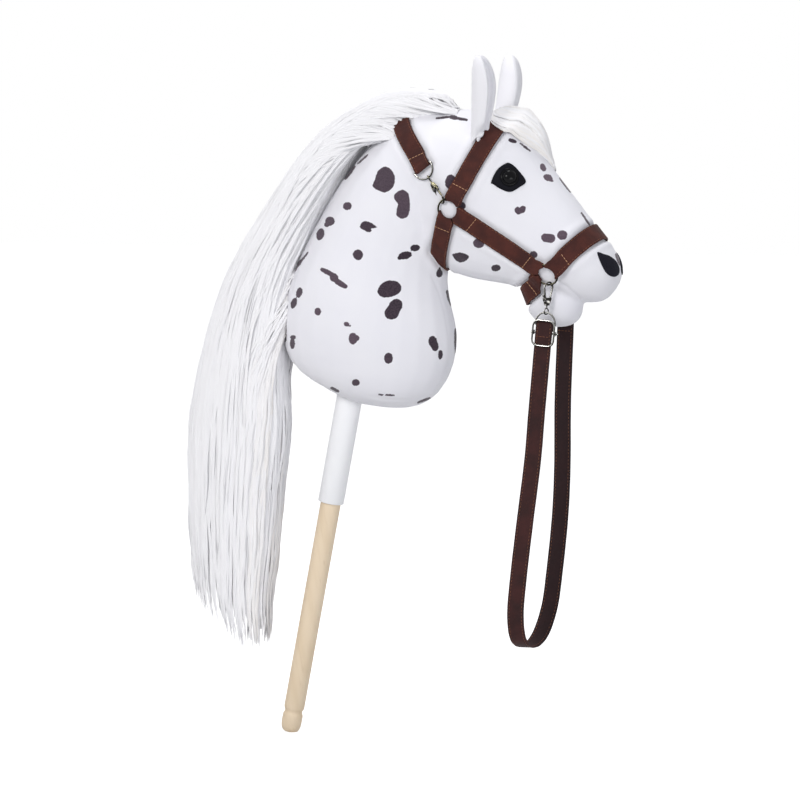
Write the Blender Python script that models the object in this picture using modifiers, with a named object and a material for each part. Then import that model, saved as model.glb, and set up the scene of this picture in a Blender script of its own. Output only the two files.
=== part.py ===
"""Hobby horse: a stuffed plush horse head and neck on a turned wooden stick.

The horse looks along +X, +Y is its left side and +Z is up.  The origin is the centre of
the flat lower end of the stick, which leans forward as it rises.  All lengths are metres.
A point of the side view is written (x, z).
"""
import math

import bmesh
import bpy
from mathutils import Matrix, Vector
from mathutils.bvhtree import BVHTree

# Driving sizes

CLEARANCE = 0.0003

STICK_TILT = math.radians(10.6)
STICK_RADIUS = 0.0110
STICK_LENGTH = 0.530
STICK_FOOT_FLAT = 0.0060
STICK_KNOB_HEIGHT = 0.0215
STICK_GROOVE_RADIUS = 0.0096
STICK_GROOVE_HEIGHT = 0.0030
STICK_GROOVE_SLOPE = 0.0016
STICK_EDGE = 0.0015
STICK_BARE_LENGTH = 0.257

TUBE_WALL = 0.0026
TUBE_FIT = 0.0004
TUBE_EDGE = 0.0006
TUBE_CAP_THICKNESS = 0.004
TUBE_CAP_RIM = 0.0030
TUBE_ROOM_BELOW = 0.020

PLUSH_GAP = 0.0004
CAGE_SIDES = 12
CAGE_SWELL = 1.035

WEBBING_WIDTH = 0.0195
WEBBING_THICKNESS = 0.0024
SLEEVE_WEB = 0.0012
SLEEVE_REACH = 0.0030
SLEEVE_HALF = 0.0026
DEE_BLEND = 0.0140

RING_RADIUS = 0.0118
RING_WIRE = 0.0010
RING_LIFT = 0.0046
CHEEK_RING = Vector((0.1954, 0.0, 0.5732))
MUZZLE_RING = Vector((0.2988, 0.0, 0.5075))
DEE_CORNER = 0.0006
DEE_SIDE_ROOM = 0.0016
DEE_LEG = 0.0006
DEE_HEIGHT = 0.0132

BROW_CORE = 0.045
CROWN_CORE = 0.050
THROAT_CORE = 0.030
NOSE_CORE = 0.020
CHIN_CORE = 0.012
THROAT_ROOM = 0.0009

CROWN_TOP = Vector((0.1265, 0.0, 0.6710))
BROW_TOP = Vector((0.2412, 0.0, 0.6625))
NOSE_TOP = Vector((0.3468, 0.0, 0.5520))
CHIN_LOW = Vector((0.2695, 0.0, 0.4834))
THROAT_LOW = Vector((0.1762, 0.0, 0.5233))

HOOK_RADIUS = 0.0066
HOOK_BAR = 0.0009
HOOK_DEPTH = 0.0010
HOOK_SLACK = 0.0006
THROAT_TURN = math.radians(45.0)
REIN_TURN = math.radians(65.0)
HOOK_BEVEL = 0.0003
BODY_DEPTH = 0.0020
EYE_RADIUS = 0.0032
EYE_WIRE = 0.0008
EYE_TURN = math.radians(62.0)
SNAP_LENGTH = 0.0280
SHANK_RADIUS = 0.0009
SHANK_HEAD_RADIUS = 0.0016
PIN_RADIUS = 0.0005
PIN_FIT = 0.00015
GATE_DEPTH = 0.0008

REIN_LEAN_RIGHT = math.radians(5.0)
REIN_LEAN_LEFT = math.radians(1.9)
SWING_BACK = math.radians(12.0)
REIN_WIDTH = 0.0182
REIN_THICKNESS = 0.0022
FOLD_BEHIND = 0.0065
FOLD_FRONT = 0.0060
SLIDE_OUTER_WIDTH = 0.0254
SLIDE_OUTER_HEIGHT = 0.0290
SLIDE_WIRE = 0.0011
SLIDE_CORNER = 0.0060
SLIDE_BAR_RADIUS = 0.0010
SLIDE_BAR_LENGTH = 0.0300
SLIDE_LUG_HALF = 0.0024
SLIDE_BELOW_DEE = 0.0085
REIN_STRAIGHT = 0.080

EYE_DOME_RADIUS = 0.0098
EYE_DOME_HEIGHT = 0.0062
EYE_DOME_RIM = 0.0008
EYE_STEM_EDGE = 0.0006
EYE_STEM_RADIUS = 0.0022
EYE_STEM_LENGTH = 0.0150
WASHER_RADIUS = 0.0075
WASHER_THICKNESS = 0.0020
WASHER_DEPTH = 0.0090
FELT_THICKNESS = 0.0012

EAR_FOOT = Vector((0.2175, -0.0400, 0.6480))
EAR_TIP = Vector((0.2240, -0.0585, 0.7330))
EAR_SHELL = 0.0045
EAR_OPEN = Vector((0.998, -0.060, 0.0)).normalized()
EAR_SIDE = Vector((-EAR_OPEN.y, EAR_OPEN.x, 0.0))
EAR_DEPTH = 0.94
EAR_WIDTH = 0.72
EAR_COLUMNS = 6
EAR_WRAP_FOOT = 118.0
EAR_WRAP_TIP = 96.0
# An ear's rows: share of the way from foot to tip, radius.
EAR_ROWS = [
    (-0.12, 0.0098),
    (0.16, 0.0116),
    (0.42, 0.0156),
    (0.62, 0.0174),
    (0.78, 0.0162),
    (0.89, 0.0114),
    (0.97, 0.0056),
    (0.995, 0.0016),
]

# Sections of the stuffed forms.  A head section is (distance along the head's axis, reach
# up, reach down, half width), and the axis runs from the poll to the upper lip.
HEAD_START = Vector((0.1586, 0.0, 0.6224))
HEAD_ANGLE = math.radians(-31.04)
HEAD_SECTIONS = [
    (-0.028, 0.028, 0.004, 0.016),
    (-0.018, 0.050, 0.028, 0.030),
    (0.000, 0.064, 0.058, 0.042),
    (0.022, 0.078, 0.076, 0.049),
    (0.045, 0.085, 0.087, 0.052),
    (0.070, 0.083, 0.090, 0.052),
    (0.095, 0.074, 0.087, 0.050),
    (0.120, 0.062, 0.077, 0.047),
    (0.145, 0.053, 0.066, 0.046),
    (0.175, 0.041, 0.055, 0.046),
    (0.200, 0.0285, 0.047, 0.044),
    (0.222, 0.025, 0.039, 0.037),
    (0.238, 0.011, 0.030, 0.024),
]
HEAD_POLES = ((-0.034, 0.010), (0.246, -0.010))

# A neck section is (centre x, centre z, direction in degrees above +X, reach forward,
# reach back, half width).
NECK_SECTIONS = [
    (0.0920, 0.3640, 80.0, 0.045, 0.034, 0.030),
    (0.0920, 0.3750, 80.0, 0.066, 0.068, 0.046),
    (0.0920, 0.3940, 83.0, 0.088, 0.092, 0.057),
    (0.0925, 0.4300, 87.5, 0.098, 0.099, 0.063),
    (0.0950, 0.4640, 81.0, 0.093, 0.100, 0.061),
    (0.1030, 0.5010, 73.0, 0.078, 0.090, 0.055),
    (0.1190, 0.5420, 66.5, 0.060, 0.082, 0.049),
    (0.1380, 0.5840, 65.0, 0.052, 0.073, 0.046),
    (0.1570, 0.6240, 66.0, 0.044, 0.060, 0.042),
    (0.1700, 0.6540, 66.0, 0.036, 0.040, 0.032),
    (0.1760, 0.6680, 66.0, 0.024, 0.020, 0.018),
]
NECK_POLES = ((0.0920, 0.3580), (0.1790, 0.6750))

# A chin section is (height, rear x, front x, half width), from the top down.
CHIN_SECTIONS = [
    (0.496, 0.284, 0.314, 0.020),
    (0.484, 0.270, 0.325, 0.028),
    (0.469, 0.267, 0.327, 0.030),
    (0.457, 0.272, 0.324, 0.027),
    (0.450, 0.284, 0.315, 0.018),
]
CHIN_POLES = ((0.300, 0.501), (0.300, 0.447))

# A mane section is (centre x, centre z, direction of fall in degrees, reach away from the
# neck in the side view, reach toward the neck, half width across the horse).
MANE_SECTIONS = [
    (0.1930, 0.6860, 180.0, 0.0050, 0.0080, 0.009),
    (0.1500, 0.6860, 184.0, 0.0100, 0.0140, 0.020),
    (0.1180, 0.6800, 200.0, 0.0125, 0.0200, 0.026),
    (0.0860, 0.6630, 214.0, 0.0150, 0.0260, 0.031),
    (0.0560, 0.6370, 226.0, 0.0190, 0.0300, 0.035),
    (0.0290, 0.6000, 237.0, 0.0230, 0.0330, 0.038),
    (0.0020, 0.5540, 241.0, 0.0280, 0.0340, 0.041),
    (-0.0230, 0.5060, 247.0, 0.0340, 0.0360, 0.043),
    (-0.0400, 0.4560, 254.0, 0.0400, 0.0420, 0.045),
    (-0.0500, 0.4000, 262.0, 0.0460, 0.0470, 0.046),
    (-0.0550, 0.3400, 267.0, 0.0540, 0.0540, 0.046),
    (-0.0600, 0.2600, 270.0, 0.0510, 0.0510, 0.044),
    (-0.0620, 0.2000, 270.0, 0.0480, 0.0480, 0.040),
    (-0.0655, 0.1500, 272.0, 0.0420, 0.0420, 0.034),
    (-0.0680, 0.1180, 272.0, 0.0330, 0.0330, 0.026),
]
MANE_TIP_DROP = 0.024
MANE_LOCKS = 9
MANE_LOCK_DEPTH = 0.10
MANE_SIDES = 35

# A forelock station is (distance along the head's axis, its right and left edges in degrees
# around the forehead, thickness on its middle line).  Its lower end falls to the left.
FORELOCK_STATIONS = [
    (0.036, -9.0, 10.0, 0.0035),
    (0.044, -14.5, 16.0, 0.0120),
    (0.056, -16.0, 21.0, 0.0175),
    (0.068, -15.0, 25.0, 0.0190),
    (0.080, -11.5, 28.0, 0.0175),
    (0.091, -9.0, 29.0, 0.0145),
    (0.101, -2.0, 28.0, 0.0100),
    (0.111, 3.0, 26.0, 0.0065),
    (0.121, 8.0, 23.0, 0.0035),
    (0.129, 12.0, 19.0, 0.0020),
]

# The reins hang in one loop.  These are points of the strap's middle line, from below
# the right dee round to below the left dee.
REIN_ROUTE = [
    (0.2830, -0.0400, 0.3100),
    (0.2750, -0.0405, 0.2450),
    (0.2680, -0.0405, 0.1850),
    (0.2640, -0.0370, 0.1450),
    (0.2640, -0.0245, 0.1170),
    (0.2680, 0.0000, 0.1060),
    (0.2745, 0.0245, 0.1150),
    (0.2815, 0.0370, 0.1430),
    (0.2860, 0.0405, 0.1800),
    (0.2920, 0.0405, 0.2400),
    (0.2945, 0.0400, 0.2950),
]

WHITE_PLUSH = (0.80, 0.80, 0.82, 1.0)
YARN_WHITE = (0.86, 0.85, 0.84, 1.0)
HALTER_BROWN = (0.10, 0.030, 0.022, 1.0)
REIN_BROWN = (0.055, 0.020, 0.017, 1.0)
STEEL = (0.62, 0.62, 0.63, 1.0)
PINE = (0.75, 0.55, 0.34, 1.0)
BLACK = (0.012, 0.012, 0.014, 1.0)

SHARP_ANGLE = math.radians(40.0)

ACROSS = Vector((0.0, 1.0, 0.0))
UP = Vector((0.0, 0.0, 1.0))


# Scene and object helpers

def clear_scene():
    for item in list(bpy.data.objects):
        bpy.data.objects.remove(item, do_unlink=True)


def make_collection(name):
    collection = bpy.data.collections.new(name)
    bpy.context.scene.collection.children.link(collection)
    return collection


def make_material(name, colour, roughness, metallic=0.0):
    material = bpy.data.materials.new(name)
    material.use_nodes = True
    shader = material.node_tree.nodes["Principled BSDF"]
    shader.inputs["Base Color"].default_value = colour
    shader.inputs["Roughness"].default_value = roughness
    shader.inputs["Metallic"].default_value = metallic
    material.diffuse_color = colour
    return material


clear_scene()
PARTS = make_collection("hobby_horse")
CUTTERS = make_collection("cutters")


def scratch_object(name, data):
    item = bpy.data.objects.new(name, data)
    CUTTERS.objects.link(item)
    return item


def evaluated_mesh(item):
    """The mesh of an object after its modifiers, with loose caps welded."""
    depsgraph = bpy.context.evaluated_depsgraph_get()
    mesh = bpy.data.meshes.new_from_object(item.evaluated_get(depsgraph))
    work = bmesh.new()
    work.from_mesh(mesh)
    bmesh.ops.remove_doubles(work, verts=work.verts, dist=0.000001)
    bmesh.ops.recalc_face_normals(work, faces=work.faces)
    work.to_mesh(mesh)
    work.free()
    return mesh


def mesh_from(points, faces):
    mesh = bpy.data.meshes.new("shape")
    mesh.from_pydata([tuple(point) for point in points], [], faces)
    work = bmesh.new()
    work.from_mesh(mesh)
    bmesh.ops.recalc_face_normals(work, faces=work.faces)
    work.to_mesh(mesh)
    work.free()
    return mesh


def moved(mesh, matrix):
    """A copy of a mesh in another place; a mirrored copy keeps its faces outward."""
    copy = mesh.copy()
    copy.transform(matrix)
    if matrix.determinant() < 0.0:
        copy.flip_normals()
    return copy


def mirrored(mesh):
    return moved(mesh, Matrix.Diagonal((1.0, -1.0, 1.0, 1.0)))


def with_modifiers(mesh, setups):
    """Runs a mesh through a list of (modifier type, settings)."""
    item = scratch_object("work", mesh)
    for kind, settings in setups:
        modifier = item.modifiers.new(kind.lower(), kind)
        for key, value in settings.items():
            setattr(modifier, key, value)
    result = evaluated_mesh(item)
    bpy.data.objects.remove(item, do_unlink=True)
    return result


def combined(mesh, operation, tools):
    """A mesh after exact booleans with each mesh in tools."""
    item = scratch_object("work", mesh)
    helpers = []
    for tool in tools:
        helper = scratch_object("tool", tool)
        helpers.append(helper)
        modifier = item.modifiers.new("boolean", "BOOLEAN")
        modifier.operation = operation
        modifier.solver = "EXACT"
        modifier.object = helper
    result = evaluated_mesh(item)
    bpy.data.objects.remove(item, do_unlink=True)
    for helper in helpers:
        bpy.data.objects.remove(helper, do_unlink=True)
    return result


def cut(mesh, *tools):
    return combined(mesh, "DIFFERENCE", tools)


def joined(mesh, *tools):
    return combined(mesh, "UNION", tools)


def add_axis(name, place, parent=None):
    """An empty on a joint's axis, which carries the pieces that move with it."""
    empty = bpy.data.objects.new(name, None)
    PARTS.objects.link(empty)
    empty.empty_display_size = 0.02
    empty["place"] = tuple(place)
    empty.parent = parent
    empty.location = place if parent is None else place - Vector(parent["place"])
    return empty


def put(name, mesh, material, axis):
    """Adds a part from its mesh in the model's frame; it rides on the empty of its joint."""
    place = Vector(axis["place"]) if axis else Vector()
    own = moved(mesh, Matrix.Translation(-place))
    own.name = name
    own.materials.clear()
    own.materials.append(material)
    own.shade_smooth()
    own.set_sharp_from_angle(angle=SHARP_ANGLE)
    item = bpy.data.objects.new(name, own)
    PARTS.objects.link(item)
    item.parent = axis


# Shape helpers

def frame_matrix(origin, depth, along):
    """Axes for a flat piece: local Y points along depth and local Z along the piece."""
    z_axis = along.normalized()
    y_axis = (depth - z_axis * depth.dot(z_axis)).normalized()
    x_axis = y_axis.cross(z_axis)
    matrix = Matrix((x_axis, y_axis, z_axis)).transposed().to_4x4()
    matrix.translation = origin
    return matrix


def turned(profile, steps):
    """A solid turned about local Z from (radius, height) points, top to bottom."""
    mesh = bpy.data.meshes.new("profile")
    points = [(radius, 0.0, height) for radius, height in profile]
    edges = [(i, i + 1) for i in range(len(points) - 1)]
    mesh.from_pydata(points, edges, [])
    return with_modifiers(mesh, [("SCREW", {
        "axis": "Z", "steps": steps, "render_steps": steps, "angle": math.tau,
        "use_merge_vertices": True, "merge_threshold": 0.00001})])


def tube_along(points, radius, closed=False, resolution=2):
    """A round wire through points."""
    curve = bpy.data.curves.new("wire", "CURVE")
    curve.dimensions = "3D"
    curve.bevel_depth = radius
    curve.bevel_resolution = resolution
    curve.use_fill_caps = not closed
    spline = curve.splines.new("POLY")
    spline.points.add(len(points) - 1)
    for slot, point in zip(spline.points, points):
        slot.co = (point[0], point[1], point[2], 1.0)
    spline.use_cyclic_u = closed
    item = scratch_object("wire", curve)
    mesh = evaluated_mesh(item)
    bpy.data.objects.remove(item, do_unlink=True)
    return mesh


def flat_plate(outlines, half_depth, bevel=0.0):
    """A plate in the local XZ plane from closed outlines of (x, z); later ones are holes."""
    curve = bpy.data.curves.new("plate", "CURVE")
    curve.dimensions = "2D"
    curve.fill_mode = "BOTH"
    curve.extrude = half_depth
    for outline in outlines:
        spline = curve.splines.new("POLY")
        spline.points.add(len(outline) - 1)
        for slot, (x, z) in zip(spline.points, outline):
            slot.co = (x, z, 0.0, 1.0)
        spline.use_cyclic_u = True
    item = scratch_object("plate", curve)
    mesh = evaluated_mesh(item)
    bpy.data.objects.remove(item, do_unlink=True)
    mesh = moved(mesh, Matrix.Rotation(math.radians(90.0), 4, "X"))
    if bevel > 0.0:
        mesh = with_modifiers(mesh, [("BEVEL", {"width": bevel, "segments": 1,
                                                "limit_method": "ANGLE"})])
    return mesh


def box_mesh(low, high):
    """A box between two corners."""
    mesh = bpy.data.meshes.new("box")
    work = bmesh.new()
    bmesh.ops.create_cube(work, size=1.0)
    work.to_mesh(mesh)
    work.free()
    size = [high[i] - low[i] for i in range(3)]
    middle = [(high[i] + low[i]) / 2.0 for i in range(3)]
    mesh.transform(Matrix.Translation(middle) @ Matrix.Diagonal((*size, 1.0)))
    return mesh


def rod_mesh(radius, start, end, sides=12):
    """A plain cylinder between two points."""
    mesh = bpy.data.meshes.new("rod")
    work = bmesh.new()
    span = end - start
    bmesh.ops.create_cone(work, cap_ends=True, segments=sides, radius1=radius, radius2=radius,
                          depth=span.length)
    work.to_mesh(mesh)
    work.free()
    turn = UP.rotation_difference(span).to_matrix().to_4x4()
    mesh.transform(Matrix.Translation((start + end) / 2.0) @ turn)
    return mesh


def ring_mesh(radius, wire, around=24, sides=6):
    """A round ring in the local XY plane."""
    bpy.ops.mesh.primitive_torus_add(major_radius=radius, minor_radius=wire,
                                     major_segments=around, minor_segments=sides)
    item = bpy.context.active_object
    mesh = item.data.copy()
    bpy.data.objects.remove(item, do_unlink=True)
    return mesh


def loft(rings, first_pole, last_pole):
    """A closed form through rings of points with a pole at each end."""
    count = len(rings[0])
    points = [point for ring in rings for point in ring] + [first_pole, last_pole]
    faces = []
    for i in range(len(rings) - 1):
        for k in range(count):
            a = i * count + k
            b = i * count + (k + 1) % count
            faces.append((a, b, b + count, a + count))
    last = (len(rings) - 1) * count
    for k in range(count):
        faces.append((len(points) - 2, (k + 1) % count, k))
        faces.append((len(points) - 1, last + k, last + (k + 1) % count))
    return mesh_from(points, faces)


def band(stations):
    """A strap from stations of (middle point, width direction, normal, width, thickness)."""
    points = []
    for middle, width_way, normal, width, thickness in stations:
        side = width_way * (width / 2.0)
        rise = normal * (thickness / 2.0)
        points += [middle - side - rise, middle + side - rise, middle + side + rise,
                   middle - side + rise]
    faces = []
    for i in range(len(stations) - 1):
        for k in range(4):
            a = 4 * i + k
            b = 4 * i + (k + 1) % 4
            faces.append((a, b, b + 4, a + 4))
    last = 4 * (len(stations) - 1)
    faces.append((3, 2, 1, 0))
    faces.append((last, last + 1, last + 2, last + 3))
    return mesh_from(points, faces)


def trimmed(mesh, point, outward, side):
    """Cuts away what lies past a plane on one side of the horse, and closes the cut.

    side is -1 for the horse's right and 1 for its left.
    """
    work = bmesh.new()
    work.from_mesh(mesh)
    faces = [face for face in work.faces if face.calc_center_median().y * side > 0.0]
    chosen = set(faces)
    edges = [edge for edge in work.edges if not chosen.isdisjoint(edge.link_faces)]
    corners = [corner for corner in work.verts if not chosen.isdisjoint(corner.link_faces)]
    geometry = corners + edges + faces
    cutting = bmesh.ops.bisect_plane(work, geom=geometry, plane_co=point, plane_no=outward,
                                     clear_outer=True, dist=0.000001)
    edges = [item for item in cutting["geom_cut"] if isinstance(item, bmesh.types.BMEdge)]
    if edges:
        bmesh.ops.contextual_create(work, geom=edges)
        bmesh.ops.recalc_face_normals(work, faces=work.faces)
    result = bpy.data.meshes.new("trimmed")
    work.to_mesh(result)
    work.free()
    return result


class Surface:
    """The outer skin of some meshes, for laying straps and patches on them."""

    def __init__(self, *meshes):
        self.trees = []
        for mesh in meshes:
            work = bmesh.new()
            work.from_mesh(mesh)
            self.trees.append(BVHTree.FromBMesh(work))
            work.free()

    def hit(self, origin, direction):
        """The first point met from origin, with its normal, or None."""
        best = None
        for tree in self.trees:
            point, normal, _, distance = tree.ray_cast(origin, direction)
            if point is not None and (best is None or distance < best[2]):
                best = (point, normal, distance)
        return best


# Stuffed forms

def plush(rings, first_pole, last_pole):
    """A soft form from a coarse cage."""
    return with_modifiers(loft(rings, first_pole, last_pole),
                          [("SUBSURF", {"levels": 1, "render_levels": 1})])


def cage_ring(middle, forward, reach_a, reach_b, half_width, grow):
    """A ring round middle: reach_a along forward, reach_b against it."""
    ring = []
    for k in range(CAGE_SIDES):
        turn = math.tau * k / CAGE_SIDES
        reach = reach_a if math.cos(turn) > 0.0 else reach_b
        along = (reach + grow) * math.cos(turn) * CAGE_SWELL
        across = (half_width + grow) * math.sin(turn) * CAGE_SWELL
        ring.append(middle + forward * along + ACROSS * across)
    return ring


HEAD_WAY = Vector((math.cos(HEAD_ANGLE), 0.0, math.sin(HEAD_ANGLE)))
HEAD_UP = Vector((-HEAD_WAY.z, 0.0, HEAD_WAY.x))


def head_form(grow=0.0):
    rings = []
    for along, up, down, half_width in HEAD_SECTIONS:
        rings.append(cage_ring(HEAD_START + HEAD_WAY * along, HEAD_UP, up, down, half_width, grow))
    poles = [HEAD_START + HEAD_WAY * (along + side * grow) + HEAD_UP * up
             for (along, up), side in zip(HEAD_POLES, (-1.0, 1.0))]
    return plush(rings, *poles)


def neck_form(grow=0.0):
    rings = []
    for x, z, degrees, front, back, half_width in NECK_SECTIONS:
        turn = math.radians(degrees)
        forward = Vector((math.sin(turn), 0.0, -math.cos(turn)))
        rings.append(cage_ring(Vector((x, 0.0, z)), forward, front, back, half_width, grow))
    poles = [Vector((x, 0.0, z + side * grow))
             for (x, z), side in zip(NECK_POLES, (-1.0, 1.0))]
    return plush(rings, *poles)


def chin_form():
    rings = []
    for z, rear, front, half_width in CHIN_SECTIONS:
        half = (front - rear) / 2.0
        middle = Vector((rear + half, 0.0, z))
        rings.append(cage_ring(middle, Vector((1.0, 0.0, 0.0)), half, half, half_width, 0.0))
    poles = [Vector((x, 0.0, z)) for x, z in CHIN_POLES]
    return plush(rings, *poles)


# Halter straps

class Ring:
    """A steel ring that lies against the head, on the horse's right side."""

    def __init__(self, surface, place):
        start = Vector((place.x, -0.2, place.z))
        middle = surface.hit(start, ACROSS)[0]
        reach = RING_RADIUS + RING_WIRE
        samples = []
        for k in range(8):
            turn = math.tau * k / 8
            offset = Vector((math.cos(turn) * reach, 0.0, math.sin(turn) * reach))
            samples.append(surface.hit(start + offset, ACROSS)[0])
        tilt_x = sum((p.y - middle.y) * (p.x - middle.x) for p in samples) / (4 * reach ** 2)
        tilt_z = sum((p.y - middle.y) * (p.z - middle.z) for p in samples) / (4 * reach ** 2)
        self.normal = Vector((tilt_x, -1.0, tilt_z)).normalized()
        highest = max((p - middle).dot(self.normal) for p in samples + [middle])
        self.centre = middle + self.normal * (highest + RING_LIFT)

    def in_plane(self, way):
        return (way - self.normal * way.dot(self.normal)).normalized()

    def wire_point(self, way):
        return self.centre + self.in_plane(way) * RING_RADIUS

    def matrix(self):
        return frame_matrix(self.centre, self.in_plane(UP), self.normal)

    def mesh(self):
        return moved(ring_mesh(RING_RADIUS, RING_WIRE), self.matrix())

    def room(self):
        """The space that the wire and the ring's opening keep free of webbing."""
        channel = ring_mesh(RING_RADIUS, RING_WIRE + CLEARANCE)
        opening_radius = RING_RADIUS - RING_WIRE - CLEARANCE - SLEEVE_WEB
        opening = rod_mesh(opening_radius, UP * -0.010, UP * 0.010, 24)
        work = bmesh.new()
        work.from_mesh(channel)
        work.from_mesh(opening)
        result = bpy.data.meshes.new("ring_room")
        work.to_mesh(result)
        work.free()
        return moved(result, self.matrix())


SLEEVE_THICKNESS = 2.0 * (RING_WIRE + CLEARANCE + SLEEVE_WEB)
SAMPLE_SHARES = (-0.5, -0.25, 0.0, 0.25, 0.5)


def fitted(surface, base, width_way, outward, reach, width, step):
    """Lays a straight line across a strap on the surface: its height and its slope.

    The surface is felt a little before and after the place as well.
    """
    heights = []
    for share in SAMPLE_SHARES:
        best = 0.0
        for part in (-0.5, -0.25, 0.0, 0.25, 0.5):
            if isinstance(step, Vector):
                way = outward
                start = base + step * part
            else:
                way = Matrix.Rotation(step * part, 3, width_way) @ outward
                start = base
            origin = start + width_way * (share * width) + way * reach
            found = surface.hit(origin, -way)
            if found:
                best = max(best, reach - found[2])
        heights.append((share * width, best))
    slope = (heights[-1][1] - heights[0][1]) / width
    height = max(h - slope * offset for offset, h in heights)
    return height, slope


def sleeve_stations(ring, way, width_way, width):
    """The first stations of a strap, which wrap the ring's wire."""
    along = ring.in_plane(way)
    flat = ring.in_plane(width_way)
    flat = (flat - along * flat.dot(along)).normalized()
    outer = RING_RADIUS + RING_WIRE + SLEEVE_WEB
    spots = [(0.004, SLEEVE_THICKNESS), (outer, SLEEVE_THICKNESS),
             (outer + SLEEVE_REACH, WEBBING_THICKNESS)]
    return [(ring.centre + along * reach, flat, ring.normal, width, thickness)
            for reach, thickness in spots]


def eased(first, second, count):
    """Stations between two others on a smooth curve, without the ends."""
    start, start_width, start_normal, width, thickness = first
    end, end_width, end_normal = second[:3]
    span = (end - start).length
    start_way = start_width.cross(start_normal)
    end_way = end_width.cross(end_normal)
    if start_way.dot(end - start) < 0.0:
        start_way = -start_way
    if end_way.dot(end - start) < 0.0:
        end_way = -end_way
    stations = []
    for k in range(1, count + 1):
        t = k / (count + 1.0)
        h00 = 2 * t ** 3 - 3 * t ** 2 + 1
        h10 = t ** 3 - 2 * t ** 2 + t
        h01 = 3 * t ** 2 - 2 * t ** 3
        h11 = t ** 3 - t ** 2
        middle = start * h00 + start_way * (span * h10) + end * h01 + end_way * (span * h11)
        stations.append((middle, start_width.lerp(end_width, t).normalized(),
                         start_normal.lerp(end_normal, t).normalized(), width, thickness))
    return stations


RING_CLEAR = 0.027


def over_stations(surface, ring, top, centre_reach, count):
    """Half of a strap that goes from a right-hand ring to the horse's middle plane."""
    way = Vector((top.x - ring.centre.x, 0.0, top.z - ring.centre.z)).normalized()
    width_way = Vector((way.z, 0.0, -way.x))
    core = Vector((ring.centre.x, 0.0, ring.centre.z)) + way * centre_reach
    first = math.atan2(-centre_reach, abs(ring.centre.y))
    laid = []
    for k in range(count + 1):
        turn = first + (math.pi / 2.0 - first) * k / count
        outward = -ACROSS * math.cos(turn) + way * math.sin(turn)
        height, slope = fitted(surface, core, width_way, outward, 0.3, WEBBING_WIDTH,
                               (math.pi / 2.0 - first) / count)
        flat = (width_way + outward * slope).normalized()
        laid.append((core + outward * height, flat, outward))
    stations = []
    for k, (point, flat, outward) in enumerate(laid):
        before = laid[max(k - 1, 0)][0]
        after = laid[k + 1][0] if k < count else Vector((point.x, -before.y, point.z))
        if k == count:
            after = Vector((before.x, -before.y, before.z))
        normal = flat.cross(after - before).normalized()
        if normal.dot(outward) < 0.0:
            normal = -normal
        if (point - ring.centre).length > RING_CLEAR:
            lift = CLEARANCE + WEBBING_THICKNESS / 2.0
            stations.append((point + normal * lift, flat, normal, WEBBING_WIDTH,
                             WEBBING_THICKNESS))
    start = sleeve_stations(ring, way, width_way, WEBBING_WIDTH)
    return start + eased(start[-1], stations[0], 2) + stations


def mirror_station(station):
    middle, width_way, normal, width, thickness = station
    flip = Vector((1.0, -1.0, 1.0))
    return (middle * flip, width_way * flip, normal * flip, width, thickness)


def both_sides(half):
    return half + [mirror_station(station) for station in reversed(half[:-1])]


def side_stations(surface, ring_a, ring_b, count):
    """A strap along the right side of the head between two rings."""
    way = Vector((ring_b.centre.x - ring_a.centre.x, 0.0, ring_b.centre.z - ring_a.centre.z))
    length = way.length
    way.normalize()
    width_way = Vector((way.z, 0.0, -way.x))
    laid = []
    for k in range(count + 1):
        reach = RING_CLEAR + (length - 2 * RING_CLEAR) * k / count
        base = Vector((ring_a.centre.x, 0.0, ring_a.centre.z)) + way * reach
        height, slope = fitted(surface, base, width_way, -ACROSS, 0.3, WEBBING_WIDTH,
                               way * ((length - 2 * RING_CLEAR) / count))
        flat = (width_way - ACROSS * slope).normalized()
        laid.append((base - ACROSS * height, flat))
    stations = []
    for k, (point, flat) in enumerate(laid):
        run = laid[min(k + 1, count)][0] - laid[max(k - 1, 0)][0]
        normal = flat.cross(run).normalized()
        if normal.y > 0.0:
            normal = -normal
        lift = CLEARANCE + WEBBING_THICKNESS / 2.0
        stations.append((point + normal * lift, flat, normal, WEBBING_WIDTH, WEBBING_THICKNESS))
    start = sleeve_stations(ring_a, way, width_way, WEBBING_WIDTH)
    end = sleeve_stations(ring_b, -way, width_way, WEBBING_WIDTH)[::-1]
    return (start + eased(start[-1], stations[0], 2) + stations
            + eased(stations[-1], end[0], 2) + end)


def sector_trim(mesh, ring, own_angle, other_angle, mirror=False):
    """Cuts a strap's end where the next strap on the same ring begins."""
    middle = (own_angle + other_angle) / 2.0
    edge = Vector((math.cos(middle), 0.0, math.sin(middle)))
    outward = Vector((-edge.z, 0.0, edge.x))
    if own_angle > other_angle:
        outward = -outward
    edge = ring.in_plane(edge)
    cutting = edge.cross(ring.normal).normalized()
    if cutting.dot(outward) < 0.0:
        cutting = -cutting
    point = ring.centre - cutting * CLEARANCE
    if mirror:
        flip = Vector((1.0, -1.0, 1.0))
        return trimmed(mesh, point * flip, cutting * flip, 1.0)
    return trimmed(mesh, point, cutting, -1.0)


def angle_to(ring, place):
    return math.atan2(place.z - ring.centre.z, place.x - ring.centre.x)


# Snap hooks, drawn in a local XZ plane: the ring's wire at the origin and the hook above it

HOOK_TOP = HOOK_BAR + RING_WIRE + CLEARANCE + HOOK_SLACK
HOOK_CENTRE = HOOK_TOP - HOOK_RADIUS
NOSE_ANGLE = math.radians(165.0)
GATE_PIVOT = (-0.0043, -0.0150)
BODY_TOP = -0.0134
BODY_FOOT = -0.0218
HOOK_STRIP = HOOK_RADIUS + HOOK_BAR + 2.0 * CLEARANCE
WINDOW_FLOOR = -0.0197
WINDOW_TOP = -0.0164
SLOT_HALF = GATE_DEPTH + CLEARANCE


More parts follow.
